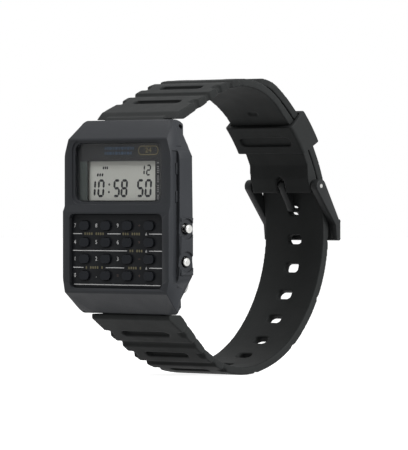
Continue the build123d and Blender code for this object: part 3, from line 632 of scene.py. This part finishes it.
# %% The bar tree
MERGE = 1e-7
QUARTER = math.pi / 2
bar_tree, bar_in, bar_ids = start_tree("printed bars", {"Length": 1.0 * MM, "Width": 0.1 * MM,
                                                        "Corner": 0.05 * MM, "Thickness": 0.02 * MM})
flow = bar_in["Geometry"]
outline = flow.make("GeometryNodeCurvePrimitiveQuadrilateral", {},
                    {"Width": bar_in["Length"], "Height": bar_in["Width"]})
cut = flow.make("GeometryNodeFilletCurve", {"mode": "POLY"},
                {"Curve": outline, "Radius": bar_in["Corner"], "Count": 1, "Limit Radius": True})
face = flow.make("GeometryNodeFillCurve", {}, {"Curve": cut})
raised = flow.make("GeometryNodeExtrudeMesh", {"mode": "FACES"},
                   {"Mesh": face, "Offset Scale": bar_in["Thickness"], "Individual": False})
under = flow.make("GeometryNodeFlipFaces", {}, {"Mesh": face})
closed = flow.make("GeometryNodeMergeByDistance", {},
                   {"Geometry": both(bar_tree, raised, under), "Distance": MERGE})
turn = flow.make("GeometryNodeInputNamedAttribute", {"data_type": "FLOAT"}, {"Name": "turn"})
tilt = flow.make("ShaderNodeCombineXYZ", {}, {"X": QUARTER, "Y": turn})
placed = flow.make("GeometryNodeInstanceOnPoints", {},
                   {"Points": flow, "Instance": closed, "Rotation": tilt})
end_tree(bar_tree, placed, bar_in["Ink"])
print("bar tree nodes:", len(bar_tree.nodes))

# %% [markdown]
# Printed bars are needed for the display and for both prints, so one function runs the tree
# with sizes in millimetres.  Another turns places on the watch's face into the tree's points.

# %% Bars in millimetres
INK_DEPTH = 0.02 * MM


def points_at(places, y, turn=0.0):
    """Points for a tree from (x, z) places in millimetres."""
    return [(x * MM, y, z * MM, turn) for x, z in places]


def bars(name, points, material, length, width, turn=0.0, corner=0.5):
    """A bar at every point; corner is the share of the width that its corners lose."""
    moved = [(p[0], p[1], p[2], p[3] + turn) for p in points]
    sizes = {"Length": length * MM, "Width": width * MM, "Corner": width * MM * corner,
             "Thickness": INK_DEPTH}
    return run_tree(bar_tree, bar_ids, name, moved, material, sizes)


def joined(parts, name, body):
    """Several plain objects as one piece; each keeps its own material."""
    work = bmesh.new()
    mesh = bpy.data.meshes.new(name)
    for index, part in enumerate(parts):
        mesh.materials.append(part.data.materials[0])
        first = len(work.faces)
        work.from_mesh(part.data)
        work.faces.ensure_lookup_table()
        for face_made in work.faces[first:]:
            face_made.material_index = index
        bpy.data.objects.remove(part)
    work.to_mesh(mesh)
    work.free()
    obj = new_object(name, mesh)
    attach(obj, body)
    print(obj.name, len(mesh.polygons), "faces on", body)
    return obj


# %% [markdown]
# Display figures.  A seven-segment figure is seven bars: three lying, four standing.  A table
# says which are lit, and a small slant leans them to the right as on the real display.  A font
# would be quicker, but its figures have no gaps between the bars.

# %% Seven-segment figures
LCD_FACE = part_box("lcd_cell")[0].y
SLANT = 0.09
LIT = {"0": "abcdef", "1": "bc", "2": "abged", "3": "abgcd", "4": "fgbc", "5": "afgcd",
       "6": "afgedc", "7": "abc", "8": "abcdefg", "9": "abcfgd"}
BAR_SPOTS = {"a": (0.5, 1), "g": (0.5, 0.5), "d": (0.5, 0),
             "b": (1, 0.75), "c": (1, 0.25), "f": (0, 0.75), "e": (0, 0.25)}
LYING = "agd"


def figure(text, lefts, z, wide, high):
    """Centres of the lit bars of figures, the lying ones and the standing ones."""
    lying, standing = [], []
    for char, left in zip(text, lefts):
        for name in LIT[char]:
            u, v = BAR_SPOTS[name]
            height = (v - 0.5) * high
            x = left + u * wide + SLANT * height
            if name in LYING:
                lying += points_at([(x, z + height)], LCD_FACE)
            else:
                standing += points_at([(x, z + height)], LCD_FACE, math.atan(SLANT))
    return lying, standing


# %% [markdown]
# The display shows the time in big figures, the day in small ones, and a few plain marks.
# Each kind of bar is one run of the tree, and all runs are then joined to one piece.

# %% The figures shown
BIG_LEFTS = (-10.5, -7.75, -2.75, -0.35, 4.75, 7.25)
SMALL_LEFTS = (5.7, 7.6)
COLON = ((-4.35, 7.25), (-4.45, 5.55))
MARKS = [(-6.2 + 0.62 * i, 10.95) for i in range(3)]
FLAGS = [(-8.0 + 0.75 * i, 9.4) for i in range(3)]    # lean a little, unlike the marks
big = figure("105850", BIG_LEFTS, z=6.4, wide=1.55, high=3.45)
small = figure("12", SMALL_LEFTS, z=10.4, wide=1.05, high=2.1)
shown = [bars("big_lying", big[0], lcd_ink, length=1.45, width=0.56),
         bars("big_standing", big[1], lcd_ink, length=1.62, width=0.62, turn=QUARTER),
         bars("small_lying", small[0], lcd_ink, length=1.0, width=0.36),
         bars("small_standing", small[1], lcd_ink, length=1.0, width=0.42, turn=QUARTER),
         bars("colon", points_at(COLON, LCD_FACE), lcd_ink, length=0.7, width=0.6),
         bars("marks", points_at(MARKS, LCD_FACE), lcd_ink, length=0.42, width=0.62, corner=0.1),
         bars("flags", points_at(FLAGS, LCD_FACE), lcd_ink, length=0.5, width=0.7, turn=0.3, corner=0.2)]
print("figure parts:", len(shown))
joined(shown, "display_figures", "case")

# %% [markdown]
# The mask is a printed sheet behind the window with a rounded opening for the display.  It
# could be cut with a boolean, but two rounded outlines filled as one curve give clean edges.

# %% Mask
PRINT = 0.015 * MM
OPENING = (0.13, 8.05, 21.46, 8.72, 0.25)    # middle x and z, width, height, corner radius
MASK_CORNER = 1.9


def ring_points(cx, cz, wide, high, r, steps=6):
    """Rounded rectangle in the face's plane, in millimetres, as points."""
    points = []
    for k, (sx, sz) in enumerate(((1, 1), (-1, 1), (-1, -1), (1, -1))):
        middle_x, middle_z = cx + sx * (wide / 2 - r), cz + sz * (high / 2 - r)
        for i in range(steps + 1):
            a = QUARTER * (k + i / steps)
            points.append((middle_x + r * math.cos(a), middle_z + r * math.sin(a)))
    return points


def upright(x, y, z):
    """Moves a flat shape to a place and turns its front to -Y."""
    return Matrix.Translation((x, y, z)) @ Matrix.Rotation(QUARTER, 4, "X")


def flat_shape(name, rings, y_front, thickness, material):
    """Fills outlines given in millimetres, holes included, as a thin plate facing -Y."""
    curve = bpy.data.curves.new(name, "CURVE")
    curve.dimensions, curve.fill_mode, curve.extrude = "2D", "BOTH", thickness / 2
    for ring in rings:
        spline = curve.splines.new("POLY")
        spline.points.add(len(ring) - 1)
        for point, (x, z) in zip(spline.points, ring):
            point.co = (x * MM, z * MM, 0, 1)
        spline.use_cyclic_u = True
    obj = plain(new_object(name + "_raw", curve), name)
    obj.data.transform(upright(0, y_front + thickness / 2, 0))
    obj.data.materials.clear()
    obj.data.materials.append(material)
    return obj


mask_lo, mask_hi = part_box("display_mask")
glass_back = mask_lo.y
edge_ring = ring_points(0, (mask_hi.z + mask_lo.z) / 2 / MM, (mask_hi.x - mask_lo.x) / MM,
                        (mask_hi.z - mask_lo.z) / MM, MASK_CORNER)
mask = flat_shape("mask_sheet", [edge_ring, ring_points(*OPENING)], glass_back + 2 * PRINT,
                  mask_hi.y - glass_back - 2 * PRINT, mask_black)
fitted(mask, mask_black, "case", "display_mask")

# %% [markdown]
# Prints on the mask: a gold lozenge outline with plain figures in it and two rows of fine
# blue dashes beside it, and a column of tiny ticks.  Left of the display a grey-green band,
# drawn the same way, stands in for the recess's left wall; its tone is that wall's colour
# with painted shade.  They could be painted by an image, but thin plates stay sharp however
# near the camera is.

# %% Prints round the display
LOZENGE_OUTER = (8.7, 14.75, 6.3, 2.05, 1.0)
LOZENGE_INNER = (8.7, 14.75, 5.95, 1.7, 0.83)
# the band for the recess's left wall, beside the opening; its tone is partly painted shade
BAND = (-11.81, 8.05, 2.42, 8.72, 0.2)
BLUE_ROWS, BLUE_COUNT = (15.3, 14.2), 15
BLUE_LEFT, BLUE_PITCH, BLUE_UNEVEN = -4.9, 0.62, 0.11
TICK_X, TICK_Z, TICK_PITCH, TICKS = 11.75, 4.0, 0.42, 20
LETTER_SHARE = 1.37    # the font's size over the height of its figures


def figures_text(name, text, x, z, high, y_front, material, stretch=1.0):
    """Plain numerals as a thin plate; x and z are the middle, in millimetres."""
    font = bpy.data.curves.new(name, "FONT")
    font.body, font.size, font.extrude = text, high * LETTER_SHARE * MM, PRINT / 2
    font.align_x, font.align_y, font.resolution_u = "CENTER", "CENTER", 3
    obj = plain(new_object(name + "_raw", font), name)
    wider = Matrix.Scale(stretch, 4, (1, 0, 0))
    obj.data.transform(upright(x * MM, y_front + PRINT / 2, z * MM) @ wider)
    obj.data.materials.clear()
    obj.data.materials.append(material)
    return obj


def blue_row(row, z):
    """One row of dashes, a little uneven; the second row is one dash shorter."""
    lefts = [BLUE_LEFT + BLUE_PITCH * i + BLUE_UNEVEN * (i * 7 % 3) for i in range(BLUE_COUNT - row)]
    points = points_at([(x, z) for x in lefts], ink_y + PRINT)
    return bars(f"blue{row}", points, blue_ink, length=0.42, width=0.62, corner=0.1)


ink_y = glass_back + PRINT / 2
lozenge = flat_shape("lozenge", [ring_points(*LOZENGE_OUTER), ring_points(*LOZENGE_INNER)],
                     ink_y, PRINT, gold_ink)
inside = figures_text("inside", "24", *LOZENGE_OUTER[:2], 1.15, ink_y, gold_ink, stretch=1.35)
dashes = [blue_row(row, z) for row, z in enumerate(BLUE_ROWS)]
tick_places = [(TICK_X, TICK_Z + TICK_PITCH * i) for i in range(TICKS) if i % 5 != 3]
tick_points = points_at(tick_places, ink_y + PRINT)
ticks = bars("ticks", tick_points, grey_ink, length=0.5, width=0.17, corner=0.1)
# the recess's left wall as a flat band, its tone partly painted shade
band = flat_shape("band", [ring_points(*BAND)], ink_y, PRINT, shaded_wall_band_tone)
joined([lozenge, inside, *dashes, ticks, band], "mask_prints", "case")

# %% [markdown]
# Keypad prints.  White hairlines divide the rows of keys and are broken by short dashes in
# olive yellow; plain numerals stand left of the keys.  The lines and dashes come from the bar
# tree, so that one set of sizes keeps them alike.

# %% Lines and dashes on the keypad plate
plate_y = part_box("keypad_plate")[0].y
LINE_Z = (-3.75, -7.52, -11.3, -15.1)
# each span is a line of LINE_Z and the two ends in millimetres
LINE_SPANS = [(0, -14.3, -11.4), (0, -3.3, 0.9), (0, 9.9, 14.3), (1, -14.3, 3.0), (1, 9.9, 14.3),
              (2, -14.3, -11.0), (2, -3.8, 2.0), (2, 9.9, 14.3), (3, -14.0, 13.4)]
DASH_SPANS = [(0, -10.8, -3.9), (0, 1.4, 8.0), (1, 3.6, 8.0), (2, -10.4, -4.4), (2, 2.5, 8.0)]
DASH_PITCH = 0.72
ARROW_X, ARROW_HALF, ARROW_LOW = 9.0, 0.35, 0.3


def hairline(i, row, x0, x1):
    middle = points_at([((x0 + x1) / 2, LINE_Z[row])], plate_y)
    return bars(f"white{i}", middle, white_ink, length=x1 - x0, width=0.17, corner=0.05)


def olive_dashes(i, row, x0, x1):
    """Dashes along a span; every fifth is left out, as between groups."""
    count = int((x1 - x0) / DASH_PITCH)
    places = [(x0 + DASH_PITCH * (k + 0.5), LINE_Z[row]) for k in range(count) if (k + i) % 5 != 4]
    points = points_at(places, plate_y)
    return bars(f"olive{i}", points, olive_ink, length=0.44, width=0.56, corner=0.12)


def arrow(row):
    z = LINE_Z[row]
    ring = [(ARROW_X - ARROW_HALF, z - ARROW_LOW), (ARROW_X + ARROW_HALF, z - ARROW_LOW),
            (ARROW_X, z + ARROW_HALF)]
    return flat_shape(f"arrow{row}", [ring], plate_y - PRINT, PRINT, grey_ink)


lines = [hairline(i, *span) for i, span in enumerate(LINE_SPANS)]
olives = [olive_dashes(i, *span) for i, span in enumerate(DASH_SPANS)]
arrows = [arrow(row) for row in range(3)]
print("lines, dash rows, arrows:", len(lines), len(olives), len(arrows))

# %% [markdown]
# The signs stand left of each key.  The numerals are white and the signs of the sums are a
# dim red.  They follow the keys' own boxes, so they stay beside their keys.

# %% Signs of the keys
SIGNS = ("789÷", "456×", "123−", "0.=+")
RED_SIGNS = "÷×−=+"
SIGN_LEFT, SIGN_HIGH, SIGN_STRETCH = 3.2, 0.95, 1.05


def key_sign(r, c, sign):
    lo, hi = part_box(f"key_r{r + 1}c{c + 1}")
    x, z = (lo.x + hi.x) / 2 / MM - SIGN_LEFT, (lo.z + hi.z) / 2 / MM
    tint = red_ink if sign in RED_SIGNS else white_ink
    return figures_text(f"sign{r}{c}", sign, x, z, SIGN_HIGH, plate_y - PRINT, tint, SIGN_STRETCH)


signs = [key_sign(r, c, sign) for r, row in enumerate(SIGNS) for c, sign in enumerate(row)]
joined([*lines, *olives, *arrows, *signs], "keypad_prints", "case")

# %% [markdown]
# Key caps.  Each is a pill on an oblong flange that keeps it under the plate.  The tree draws
# the pill's outline, fills it and pushes it up, so that one tree serves any size of key.

# %% The key cap tree
PILL_ROUND, PILL_STEPS = 0.499, 9    # the ends' radius as a share of the width, and their steps
cap_tree, cap_in, cap_ids = start_tree("key cap", {"Length": 3.1 * MM, "Width": 2.0 * MM,
                                                   "Stem": 1.0 * MM, "Flange": 0.7 * MM,
                                                   "Flange depth": 0.4 * MM})


def pill(length, width, lift):
    """A filled pill outline, lift above the origin."""
    oblong = length.make("GeometryNodeCurvePrimitiveQuadrilateral", {},
                         {"Width": length, "Height": width})
    soft = oblong.make("GeometryNodeFilletCurve", {"mode": "POLY"},
                       {"Curve": oblong, "Radius": width * PILL_ROUND, "Count": PILL_STEPS,
                        "Limit Radius": True})
    filled = soft.make("GeometryNodeFillCurve", {"mode": "NGONS"}, {"Curve": soft})
    up = lift.make("ShaderNodeCombineXYZ", {}, {"Z": lift})
    return filled.make("GeometryNodeTransform", {}, {"Geometry": filled, "Translation": up})


def column(length, width, low, tall):
    """A closed pill-shaped block from low to low + tall."""
    base = pill(length, width, low)
    top = base.make("GeometryNodeExtrudeMesh", {"mode": "FACES"},
                    {"Mesh": base, "Offset Scale": tall, "Individual": False})
    turned = base.make("GeometryNodeFlipFaces", {}, {"Mesh": base})
    return base.make("GeometryNodeMergeByDistance", {},
                     {"Geometry": both(cap_tree, top, turned), "Distance": MERGE})


def oblong_flange(length, width, stem, wider, depth):
    """The flange's plate, under the stem."""
    size = length.make("ShaderNodeCombineXYZ", {}, {"X": length + wider, "Y": width + wider, "Z": depth})
    down = length.make("ShaderNodeCombineXYZ", {}, {"Z": stem * -1.0 - depth * 0.5})
    plate = length.make("GeometryNodeMeshCube", {}, {"Size": size})
    return plate.make("GeometryNodeTransform", {}, {"Geometry": plate, "Translation": down})


stem = column(cap_in["Length"], cap_in["Width"], cap_in["Stem"] * -1.0, cap_in["Stem"])
flange = oblong_flange(cap_in["Length"], cap_in["Width"], cap_in["Stem"], cap_in["Flange"],
                       cap_in["Flange depth"])
cap_tilt = stem.make("ShaderNodeCombineXYZ", {}, {"X": QUARTER})
caps_placed = stem.make("GeometryNodeInstanceOnPoints", {},
                        {"Points": cap_in["Geometry"], "Instance": both(cap_tree, stem, flange),
                         "Rotation": cap_tilt})
end_tree(cap_tree, caps_placed, cap_in["Ink"])
print("cap tree nodes:", len(cap_tree.nodes))

# %% [markdown]
# Sixteen caps.  One run of the tree makes one cap, because every key moves by itself.  Its
# sizes come from the key's own box, and a bevel rounds the rim as the mould does.

# %% Sixteen caps
FLANGE_WIDE, FLANGE_DEEP = 0.7 * MM, 0.4 * MM    # both sides together, and its thickness
RIM, RIM_STEPS, RIM_ANGLE = 0.26 * MM, 4, math.radians(60)


def key_cap(node):
    lo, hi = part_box(node)
    name = "cap_" + node.removeprefix("key_")
    point = ((lo.x + hi.x) / 2, lo.y, (lo.z + hi.z) / 2, 0.0)
    sizes = {"Length": hi.x - lo.x - FLANGE_WIDE, "Width": hi.z - lo.z - FLANGE_WIDE,
             "Stem": hi.y - lo.y - FLANGE_DEEP, "Flange": FLANGE_WIDE, "Flange depth": FLANGE_DEEP}
    cap = run_tree(cap_tree, cap_ids, name + "_sharp", [point], key_resin, sizes)
    all_smooth(cap.data)
    rim = cap.modifiers.new("rim", "BEVEL")
    rim.width, rim.segments = RIM, RIM_STEPS
    rim.limit_method, rim.angle_limit = "ANGLE", RIM_ANGLE
    rim.use_clamp_overlap, rim.harden_normals = True, True
    return plain(cap, name)


for node in sorted(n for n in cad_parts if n.startswith("key_r")):
    fitted(key_cap(node), key_resin, node, node)

# %% [markdown]
# Pushers: turned steel.  A lathe spins the head while its profile is cut, so here the profile
# is spun round the axis.  A small dish in the end face catches the light.

# %% Pushers


def ring_round_x(work, x, r, y, z, steps):
    """Points of a circle round an axis along X, or its one middle point."""
    if r == 0:
        return [work.verts.new((x, y, z))]
    turns = [2 * math.pi * i / steps for i in range(steps)]
    return [work.verts.new((x, y + r * math.cos(a), z + r * math.sin(a))) for a in turns]


def spun(name, profile, y, z, steps=48):
    """Turns a profile of (x, radius) points round the axis along X through y, z."""
    work = bmesh.new()
    rings = [ring_round_x(work, x, r, y, z, steps) for x, r in profile]
    for a, b in zip(rings, rings[1:]):
        for i in range(steps):
            j = (i + 1) % steps
            corners = [a[i % len(a)], a[j % len(a)], b[j % len(b)], b[i % len(b)]]
            work.faces.new(list(dict.fromkeys(corners)))
    bmesh.ops.recalc_face_normals(work, faces=work.faces)
    mesh = bpy.data.meshes.new(name)
    work.to_mesh(mesh)
    work.free()
    all_smooth(mesh)
    return new_object(name, mesh)


STEM_SHARE = 0.5
# millimetres behind the end face, and the radius there as a share of the head's
HEAD_SHARES = ((1.0, STEM_SHARE), (1.0, 0.93), (0.95, 1.0), (0.36, 1.0), (0.22, 0.97),
               (0.09, 0.87), (0.01, 0.72), (0.0, 0.62), (0.03, 0.3), (0.04, 0.0))


def push_button(label):
    lo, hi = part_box("pusher_" + label)
    y, z, r = (lo.y + hi.y) / 2, (lo.z + hi.z) / 2, (hi.z - lo.z) / 2
    stem_end = [(lo.x, 0), (lo.x, STEM_SHARE * r)]
    head = [(hi.x - back * MM, share * r) for back, share in HEAD_SHARES]
    return spun("push_button_" + label, stem_end + head, y, z)


for label in ("upper", "lower"):
    fitted(push_button(label), turned_steel, "pusher_" + label, "pusher_" + label)

# %% [markdown]
# Back screws: small pan heads with a cross recess.  The tree cuts two bars out of a disc and
# sets the result on the four points, each head turned its own way, as screws end up.

# %% The screw tree
HEAD_CORNERS, CROSS_SPAN = 40, 1.3    # corners of the disc; a bar's length over the radius
screw_tree, screw_in, screw_ids = start_tree("cross screw", {"Radius": 1.0 * MM, "Height": 0.4 * MM,
                                                             "Slot": 0.26 * MM, "Slot depth": 0.25 * MM})
flow = screw_in["Geometry"]
disc = flow.make("GeometryNodeMeshCylinder", {}, {"Vertices": HEAD_CORNERS, "Radius": screw_in["Radius"],
                                                  "Depth": screw_in["Height"]})
lift = flow.make("ShaderNodeCombineXYZ", {}, {"Z": screw_in["Height"] * 0.5})
span, slot_deep = screw_in["Radius"] * CROSS_SPAN, screw_in["Slot depth"] * 2.0
bar_sizes = ({"X": span, "Y": screw_in["Slot"], "Z": slot_deep},
             {"X": screw_in["Slot"], "Y": span, "Z": slot_deep})
head = disc
for bar_size in bar_sizes:
    size = flow.make("ShaderNodeCombineXYZ", {}, bar_size)
    bar = flow.make("GeometryNodeMeshCube", {}, {"Size": size})
    bar_up = flow.make("GeometryNodeTransform", {}, {"Geometry": bar, "Translation": lift})
    head = flow.make("GeometryNodeMeshBoolean", {"operation": "DIFFERENCE"}, {0: head, 1: bar_up})
turn = flow.make("GeometryNodeInputNamedAttribute", {"data_type": "FLOAT"}, {"Name": "turn"})
screw_tilt = flow.make("ShaderNodeCombineXYZ", {}, {"X": -QUARTER, "Y": turn})
screws_placed = flow.make("GeometryNodeInstanceOnPoints", {},
                          {"Points": flow, "Instance": head, "Rotation": screw_tilt})
end_tree(screw_tree, screws_placed, screw_in["Ink"])
print("screw tree nodes:", len(screw_tree.nodes))

# %% [markdown]
# The heads stand at the four corners that the CAD screws have, so their places are worked
# out from the box of that node.

# %% Four screws
SCREW_IN, SCREW_HALF = 0.9 * MM, 0.2 * MM    # from the box's sides, and half a head's height
FIRST_TURN, NEXT_TURN = 0.4, 0.9
lo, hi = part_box("back_screws")
sides_x, sides_z = (lo.x + SCREW_IN, hi.x - SCREW_IN), (lo.z + SCREW_IN, hi.z - SCREW_IN)
screw_places = [(x, z) for x in sides_x for z in sides_z]
screw_points = [(x, hi.y - SCREW_HALF, z, FIRST_TURN + NEXT_TURN * i)
                for i, (x, z) in enumerate(screw_places)]
screw_sizes = {"Radius": 0.88 * MM, "Height": 0.4 * MM, "Slot": 0.28 * MM, "Slot depth": 0.26 * MM}
screw_heads = run_tree(screw_tree, screw_ids, "screw_heads", screw_points, back_steel, screw_sizes)
fitted(screw_heads, back_steel, "case", "back_screws")

# %% [markdown]
# What is inside stays as the CAD solids, with a finish of its own for each.  A new mesh would
# show nothing more, because the case hides them.

# %% Finishes for the carried nodes
carried = {"lcd_cell": lcd_glass, "lcd_reflector": foil, "circuit_board": laminate,
           "chip_blob": epoxy, "cell_holder": holder_resin, "button_cell": back_steel,
           "buzzer_disc": brass, "spring_bar_buckle": turned_steel,
           "zebra_connectors": rubber, "keypad_membrane": rubber, "pusher_seals": rubber,
           "back_gasket": rubber, "quartz_crystal": spring_steel, "cell_clip": spring_steel,
           "buzzer_spring": spring_steel, "pusher_spring_upper": spring_steel,
           "pusher_spring_lower": spring_steel, "pusher_clip_upper": spring_steel,
           "pusher_clip_lower": spring_steel, "spring_bar_upper": spring_steel,
           "spring_bar_lower": spring_steel}
for node, finish in carried.items():
    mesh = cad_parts[node].data
    mesh.materials.clear()
    mesh.materials.append(finish)
print("carried nodes:", len(carried), "of", len(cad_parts))

# %% [markdown]
# Floor and world.  Both are white where the camera sees them, directly or by way of gloss
# and clear pieces, because their extra light is added only to those rays.  So none of it
# falls on the watch, and the soft shadow under it stays.  A stronger lamp would whiten the
# floor too, but it would bleach the watch.

# %% Floor and world
FLOOR_TONE, FLOOR_GLOW, FLOOR_HALF, FLOOR_GAP = 0.40, 0.90, 3.0, 0.05 * MM
WORLD_SEEN, WORLD_LIGHT = 0.80, 0.20
RAY_KINDS = ("Is Camera Ray", "Is Glossy Ray", "Is Transmission Ray")


def seen_rays(tree):
    """One for rays from the camera and for what gloss and clear pieces show of them."""
    node = tree.nodes.new("ShaderNodeLightPath")
    camera_ray, gloss, through = (Flow(tree, node.outputs[kind]) for kind in RAY_KINDS)
    return camera_ray.maths("MAXIMUM", camera_ray, gloss.maths("MAXIMUM", gloss, through))


def pale_floor():
    """A matt grey that the camera sees as white."""
    material, tree, shader, _ = blank("pale floor", Roughness=0.9)
    shader.inputs["Base Color"].default_value = colour(FLOOR_TONE, FLOOR_TONE, FLOOR_TONE)
    path = seen_rays(tree)
    glow = path.make("ShaderNodeEmission", {}, {"Color": colour(1, 1, 1), "Strength": path * FLOOR_GLOW})
    sum_of = path.make("ShaderNodeAddShader", {}, {0: Flow(tree, shader.outputs[0]), 1: glow})
    tree.links.new(sum_of.out, tree.nodes["Material Output"].inputs["Surface"])
    return material


floor_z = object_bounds()[0].z - FLOOR_GAP
corners = [(x, y, floor_z) for x, y in ((-1, -1), (1, -1), (1, 1), (-1, 1))]
floor_mesh = bpy.data.meshes.new("floor")
floor_mesh.from_pydata([(x * FLOOR_HALF, y * FLOOR_HALF, z) for x, y, z in corners], [], [(0, 1, 2, 3)])
floor = new_object("floor", floor_mesh)
floor.data.materials.append(pale_floor())

world = bpy.data.worlds.new("studio")
scene.world = world
world.use_nodes = True
sky = world.node_tree
backdrop = sky.nodes["Background"]
backdrop.inputs["Color"].default_value = colour(1, 1, 1)
feed(sky, backdrop.inputs["Strength"], seen_rays(sky) * WORLD_SEEN + WORLD_LIGHT)
print("floor at", round(floor_z / MM, 2), "mm")

# %% [markdown]
# Three soft boxes, as in a product photograph: one above, a stronger one at the right that
# lights the case's side and the strap's edges, and a weak, wide one in front.

# %% Lamps


def lamp(name, place, aim, width, power):
    """A square soft box at a place, turned to its aim."""
    light = bpy.data.lights.new(name, "AREA")
    light.shape, light.size, light.energy = "SQUARE", width, power
    obj = new_object(name, light)
    obj.location = place
    obj.rotation_euler = (Vector(aim) - Vector(place)).to_track_quat("-Z", "Y").to_euler()


WATCH_MIDDLE = (0.0, 0.02, 0.0)
lamp("top soft box", (-0.05, -0.25, 0.55), WATCH_MIDDLE, width=0.35, power=3.4)
lamp("right soft box", (0.60, 0.10, 0.25), WATCH_MIDDLE, width=0.30, power=5.4)
lamp("front fill", (-0.15, -0.60, 0.05), WATCH_MIDDLE, width=0.40, power=0.25)
print("lamps:", len(bpy.data.lights))

# %% [markdown]
# The camera was fitted to the photograph once, with the case's real size.  It is kept as the
# angles, the distance and the lens that the fit gave, so that the render lies over the photo.

# %% Camera
AZIMUTH, ELEVATION = math.radians(44.5), math.radians(0.26)
FOCAL_PX, LONG_SIDE_PX, SENSOR_MM = 4400.0, 450.0, 36.0
TARGET, DISTANCE = Vector((9.730, 9.550, -1.805)) * MM, 983.8 * MM
away = Vector((math.sin(AZIMUTH) * math.cos(ELEVATION), -math.cos(AZIMUTH) * math.cos(ELEVATION),
               math.sin(ELEVATION)))
eye = bpy.data.cameras.new("photo camera")
eye.sensor_fit, eye.sensor_width = "AUTO", SENSOR_MM
eye.lens = FOCAL_PX * SENSOR_MM / LONG_SIDE_PX
eye.clip_start, eye.clip_end = 0.05, 20.0
camera = new_object("photo camera", eye)
camera.location = TARGET + away * DISTANCE
camera.rotation_mode = "QUATERNION"
camera.rotation_quaternion = (-away).to_track_quat("-Z", "Y")
scene.camera = camera
scene.view_settings.view_transform = "Standard"
print("camera lens", eye.lens)
